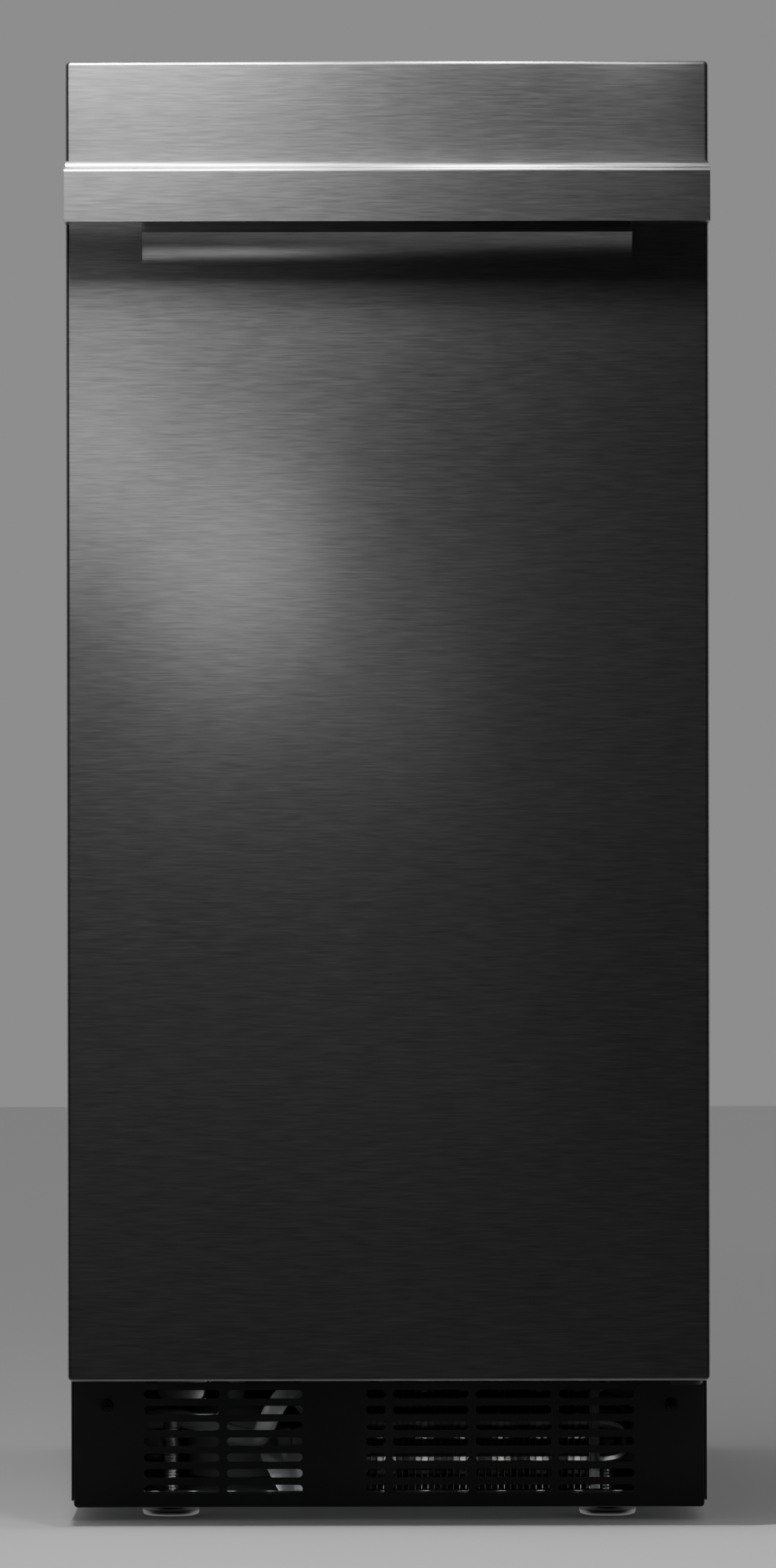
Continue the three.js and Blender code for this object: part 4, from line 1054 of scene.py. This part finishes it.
# %% Soft-edged pieces
# Node, finish and width of the rounded edge in millimetres
SOFT_EDGED = [
    ("base_pan", zinc, 0.4), ("fan_shroud", zinc, 0.4), ("rear_vent_cover", zinc, 0.3),
    ("service_bracket", zinc, 0.3), ("compartment_ceiling", zinc, 0.3), ("rear_panel", zinc, 0.4),
    ("top_hinge", cabinet_black, 0.5), ("bottom_hinge", cabinet_black, 0.5),
    ("door_cap_top", black_moulding, 0.8), ("door_cap_bottom", black_moulding, 0.8),
    ("door_inner_panel", liner_white, 1.1), ("hinge_bush_top", nylon, 0.4), ("hinge_bush_bottom", nylon, 0.4),
    ("evaporator_plate", nickel, 0.5), ("water_distributor", grey_moulding, 0.8),
    ("water_pan", grey_moulding, 0.9), ("water_pump", black_moulding, 0.7), ("pump_impeller", nylon, 0.3),
    ("control_housing", grey_moulding, 0.9), ("control_fascia", black_moulding, 0.9),
    ("light_lens", lens_frost, 1.5), ("scoop_holder", liner_white, 1.1), ("bin_drain", grey_moulding, 0.5),
    ("fan_motor", motor_grey, 0.6), ("water_inlet_valve", nylon, 1.0), ("drain_pump", grey_moulding, 1.0),
    ("cord_gland", black_moulding, 0.7), ("junction_box", black_moulding, 1.2),
    ("control_board", board_green, 0.2),
]
for node, finish, width in SOFT_EDGED:
    softened(node, finish, width * MM)
for node in ("cabinet_foam", "door_foam"):
    nodes[node].data.materials.clear()
    nodes[node].data.materials.append(foam.material)
print("foam dressed")

# %% [markdown]
# ## Tubes and hoses
# Copper lines carry the refrigerant and clear vinyl hoses the water. They follow the frame's routes exactly,
# so the sided tubes are rounded rather than drawn again.

# %% Lines and hoses
# Node, finish, outer radius in millimetres and the number of sides the frame gives it
ROUND_TUBES = [
    ("evaporator_tubing", copper, 4.4, 6), ("discharge_line", copper, 3.2, 6),
    ("suction_line", copper, 4.0, 6), ("water_supply_tube", hose_vinyl, 3.2, 6),
    ("pump_hose", hose_vinyl, 4.5, 8), ("drain_hose", hose_vinyl, 6.0, 8),
]
for node, finish, radius, sides in ROUND_TUBES:
    rounded(node, finish, radius * MM, sides)
softened("filter_drier", copper, 0.3 * MM)

# %% [markdown]
# ## The door gasket
# The seal is a hollow vinyl bellows with a magnet in its front lip, and its folds are what one sees when the
# door is open. Its section is drawn once and swept round the door by a curve with rounded corners: the bevel
# object of a curve is exactly such a sweep.


# %% Gasket
FOLDS_DEEP = 11.4


def gasket():
    low, high = (Vector(corner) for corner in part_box("door_gasket"))
    inset = 9.5 * MM
    corner = 9 * MM
    depth = high.y - low.y
    path = bpy.data.curves.new("gasket_path", "CURVE")
    path.dimensions = "2D"
    spline = path.splines.new("POLY")
    x, z0, z1 = high.x - inset - corner, low.z + inset + corner, high.z - inset - corner
    points = []
    for centre, start in (((x, z0), -90), ((x, z1), 0), ((-x, z1), 90), ((-x, z0), 180)):
        points += arc(centre, corner, start, start + 90, 6)
    spline.points.add(len(points) - 1)
    for spot, (across, up) in zip(spline.points, points):
        spot.co = (across, up, 0, 1)
    spline.use_cyclic_u = True
    section = bpy.data.curves.new("gasket_section", "CURVE")
    section.dimensions = "2D"
    outline = section.splines.new("POLY")
    folds = [
        (-8.5, 0), (-9, 1.6), (-5.5, 3), (-7.5, 5), (-5.5, 7), (-8.5, 9.4), (-8, 11.2), (8, 11.2), (8.5, 9.4),
        (5.5, 7), (7.5, 5), (5.5, 3), (9, 1.6), (8.5, 0),
    ]
    outline.points.add(len(folds) - 1)
    for spot, (across, along) in zip(outline.points, folds):
        spot.co = (across * MM, along * depth / FOLDS_DEEP - depth / 2, 0, 1)
    outline.use_cyclic_u = True
    profile = bpy.data.objects.new("gasket_section", section)
    bpy.context.scene.collection.objects.link(profile)
    path.bevel_mode = "OBJECT"
    path.bevel_object = profile
    holder = bpy.data.objects.new("gasket_path", path)
    bpy.context.scene.collection.objects.link(holder)
    bm = bmesh.new()
    bm.from_mesh(holder.evaluated_get(bpy.context.evaluated_depsgraph_get()).to_mesh())
    bpy.data.objects.remove(holder)
    bpy.data.objects.remove(profile)
    stand_up = Matrix.Translation((0, (low.y + high.y) / 2, 0)) @ Matrix.Rotation(math.pi / 2, 4, "X")
    bmesh.ops.transform(bm, verts=bm.verts[:], matrix=stand_up)
    bmesh.ops.remove_doubles(bm, verts=bm.verts[:], dist=1e-6)
    made = hand_over("bellows_gasket", bm, seal_vinyl, ["door_gasket"], smooth_below=60)
    print("gasket", [round(v * 1000, 1) for v in made.dimensions])


gasket()

# %% [markdown]
# ## The compressor
# A hermetic compressor is two deep-drawn shells welded round the middle and painted black. The shell is a
# turned shape, the seam a second one, and the four feet stand on rubber grommets. A bevelled block covers
# the electrical terminals.


# %% Compressor
def compressor():
    high = Vector(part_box("compressor")[1])
    centre = Vector((-84, 196, 0)) * MM
    bm = bmesh.new()
    shell = [
        (0, 27), (36, 27), (54, 30), (65, 38), (70.5, 50), (72, 62), (72, 108), (72, 146), (70, 158),
        (63, 174), (50, 185.5), (34, 192.5), (16, 196), (0, 197),
    ]
    turned(bm, [(r * MM, h * MM) for r, h in shell], centre, steps=64)
    seam = [(71, 110), (73.2, 111.5), (74, 114), (74, 118), (73.2, 120.5), (71, 122)]
    turned(bm, [(r * MM, h * MM) for r, h in seam], centre, steps=64)
    cover_low = centre + Vector((66, -17, 72)) * MM
    soft_block(bm, cover_low, (high.x, centre.y + 17 * MM, 106 * MM), 3 * MM, 3)
    plate_from, plate_to = Vector((-61, -61, 24.2)) * MM, Vector((61, 61, 27.2)) * MM
    soft_block(bm, centre + plate_from, centre + plate_to, 1 * MM, 2)
    made = hand_over("compressor_shell", bm, shell_black, ["compressor"])
    rubber = bmesh.new()
    grommet = [(0, 14), (9, 14), (9, 17), (7, 18), (7, 20), (9, 21), (9, 24), (0, 24)]
    for x in (-52, 52):
        for y in (-52, 52):
            turned(rubber, [(r * MM, h * MM) for r, h in grommet], centre + Vector((x, y, 0)) * MM, steps=20)
    hand_over("compressor_grommets", rubber, seal_vinyl, like="compressor")
    print("compressor", len(made.data.polygons), "faces")


compressor()

# %% [markdown]
# ## The fan
# Each blade is a thin curved plate set at a pitch. A small grid is bent to the shape of a blade, five times,
# each a fifth of a turn further about the hub. The solidify operator makes them 1.4 mm thick.


# %% Fan blades
BLADES = 5
BLADE_ROOT = 13 * MM
BLADE_CHORD = 26 * MM


def fan():
    low, high = (Vector(corner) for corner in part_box("fan_blade"))
    centre = (low + high) / 2
    reach = (high.x - low.x) / 2 - 0.5 * MM
    bm = bmesh.new()
    for number in range(BLADES):
        blade = bmesh.ops.create_grid(bm, x_segments=6, y_segments=6, size=0.5)["verts"]
        for vert in blade:
            across, out = vert.co.x, vert.co.y + 0.5
            radius = BLADE_ROOT + out * (reach - BLADE_ROOT)
            angle = across * (0.95 - 0.25 * out) + 0.25 * out
            rise = across * BLADE_CHORD * (1 - 0.35 * out) + 3 * MM * (0.25 - across * across)
            vert.co = (radius * math.sin(angle), rise, radius * math.cos(angle))
        turn = Matrix.Rotation(number * 2 * math.pi / BLADES, 4, "Y")
        bmesh.ops.transform(bm, verts=blade, matrix=Matrix.Translation(centre) @ turn)
    bmesh.ops.solidify(bm, geom=bm.faces[:], thickness=1.4 * MM)
    hub = [(0, -11.5), (14, -11.5), (15.5, -10), (15.5, 9), (13, 11.5), (0, 11.5)]
    turned(bm, [(r * MM, h * MM) for r, h in hub], centre, "y", 32)
    made = hand_over("fan_impeller", bm, black_moulding, ["fan_blade"])
    print("fan", len(made.data.polygons), "faces")


fan()

# %% [markdown]
# ## The cutting grid
# Slabs of ice slide onto a frame strung with heated wires, which melt them into cubes. The frame is a hollow
# moulding, and the wires are real round wires in two layers that cross.

# %% Cutting grid
TILT = math.radians(12)
WIRE_RADIUS = 0.6 * MM
SPACES_ACROSS, SPACES_ALONG = 12, 10


def cutting_grid():
    width, length = 242 * MM, 188 * MM
    left = -97 * MM
    place = Matrix.Translation((0, -212 * MM, 628 * MM)) @ Matrix.Rotation(TILT, 4, "X")
    frame_bm = bmesh.new()
    soft_block(frame_bm, (left, 0, -9 * MM), (left + width, length, 14 * MM), 2.5 * MM, 3)
    opening = bmesh.new()
    edge = 3.2 * MM
    block(opening, (left + edge, edge, -12 * MM), (left + width - edge, length - edge, 17 * MM))
    frame_bm = punched(frame_bm, opening)
    for y in (6 * MM, 174 * MM):
        soft_block(frame_bm, (-154 * MM, y, -9 * MM), (154 * MM, y + 8 * MM, -5 * MM), 0.6 * MM, 2)
    bmesh.ops.transform(frame_bm, verts=frame_bm.verts[:], matrix=place)
    hand_over("cutting_grid_frame", frame_bm, grey_moulding, ["cutter_grid"])
    wires = bmesh.new()
    for number in range(1, SPACES_ACROSS):
        x = left + number * width / SPACES_ACROSS
        tube(wires, [(x, 1 * MM, 4.6 * MM), (x, length - 1 * MM, 4.6 * MM)], WIRE_RADIUS, 1, 8)
    for number in range(1, SPACES_ALONG):
        y = number * length / SPACES_ALONG
        tube(wires, [(left + 1 * MM, y, -1.4 * MM), (left + width - 1 * MM, y, -1.4 * MM)], WIRE_RADIUS, 1, 8)
    bmesh.ops.transform(wires, verts=wires.verts[:], matrix=place)
    hand_over("cutting_wires", wires, steel_tube, like="evaporator_plate")
    print("cutting grid ready")


cutting_grid()

# %% [markdown]
# ## The scoop
# The scoop hangs mouth down on the right wall. It is a clear trough with one closed end and a hollow-looking
# grip. A half-round section is extruded for the bowl, its closed end is capped, and Solidify keeps the wall
# even all round, which a person expects from a moulded scoop.


# %% Scoop
def top_at(top, below):
    return min(top, key=lambda vert: (vert.co.x - below.co.x) ** 2 + (vert.co.y - below.co.y) ** 2)


def scoop():
    centre = Vector((122, -150, 330)) * MM
    half, wall = 26 * MM, 2.2 * MM
    bm = bmesh.new()
    side = 22 * MM
    section = [(side, half), *arc((0, 0), half, 90, 270, 16), (side, -half)]
    verts = [bm.verts.new((-across, along, 0)) for across, along in section]
    edges = [bm.edges.new(pair) for pair in zip(verts, verts[1:])]
    raised = bmesh.ops.extrude_edge_only(bm, edges=edges)["geom"]
    top = [g for g in raised if isinstance(g, bmesh.types.BMVert)]
    bmesh.ops.translate(bm, verts=top, vec=(0, 0, 112 * MM))
    rim = [e for e in raised if isinstance(e, bmesh.types.BMEdge) and all(v in top for v in e.verts)]
    closing = bm.edges.new((top_at(top, verts[0]), top_at(top, verts[-1])))
    bmesh.ops.contextual_create(bm, geom=[*rim, closing])
    bmesh.ops.recalc_face_normals(bm, faces=bm.faces)
    bmesh.ops.translate(bm, verts=bm.verts[:], vec=centre)
    thickened(hand_over("scoop_bowl", bm, scoop_clear, ["scoop"], smooth_below=50), wall)
    grip = bmesh.new()
    soft_block(grip, centre + Vector((-5, -9, 111)) * MM, centre + Vector((9, 9, 196)) * MM, 4 * MM, 4)
    hand_over("scoop_grip", grip, scoop_clear, like="scoop")
    print("scoop ready")


scoop()

# %% [markdown]
# ## Push buttons
# The caps are dished a little so that a finger finds them. The outline is turned once and used three times.


# %% Buttons
def push_button(node):
    low, high = (Vector(corner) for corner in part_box(node))
    middle = (low + high) / 2
    bm = bmesh.new()
    cap = [(0, 0.9), (3.5, 0.7), (5.6, 0.1), (6.4, 0.1), (6.9, 0.7), (7, 1.4), (7, 7.0)]
    cap += [(8.9, 7.2), (8.9, 8.3), (2.5, 8.3), (2.5, 10.3), (0, 10.3)]
    turned(bm, [(r * MM, -h * MM) for r, h in cap][::-1], (middle.x, low.y, middle.z), "y", 40)
    hand_over(node + "_cap", bm, button_grey, [node])


for name in ("power_button", "clean_button", "light_button"):
    push_button(name)
print("buttons ready")

# %% [markdown]
# ## Cabinet screws
# The rear panels are held by hexagon-head screws with a washer face. The washer is turned in twenty steps
# and the head in only six, which makes it a hexagon. A loop sets one at every place along the panels' edges.


# %% Hexagon screws
def hexagon_screw(bm, spot):
    """A flanged hexagon head at spot, facing backwards."""
    flange = [(0, 0), (4.6, 0), (4.6, 0.5), (3.6, 1.0), (0, 1.0)]
    head = [(0, 0.9), (3.1, 0.9), (3.1, 3.2), (2.7, 3.6), (0, 3.6)]
    for profile, steps in ((flange, 20), (head, 6)):
        turned(bm, [(r * MM, -h * MM) for r, h in profile][::-1], spot, "y", steps)


def rear_screws():
    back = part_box("rear_panel")[1][1]
    bm = bmesh.new()
    places = [(x, z) for z in (0.225, 0.262, 0.45, 0.64, 0.84) for x in (-0.172, 0.172)]
    for x, z in [*places, (-0.08, 0.85), (0.08, 0.85)]:
        hexagon_screw(bm, (x, back, z))
    hand_over("rear_screws", bm, zinc_plate, like="rear_panel")
    print("rear screws ready")


rear_screws()

# %% [markdown]
# ## Even shading
# Smooth shading averages the normals that meet at a corner, so a rounded edge would tilt the light all the
# way across the big flat face beside it. The Weighted Normal modifier lets the largest face decide: flat
# sheet stays flat and only the bend itself curves. It comes last, after anything that changes the mesh.

# %% Weighted normals
for piece in PIECES:
    if not any(kind.type == "SUBSURF" for kind in piece.modifiers):
        even = piece.modifiers.new("even_shading", "WEIGHTED_NORMAL")
        even.weight = 100
        even.keep_sharp = True
print(len(PIECES), "pieces shaded")
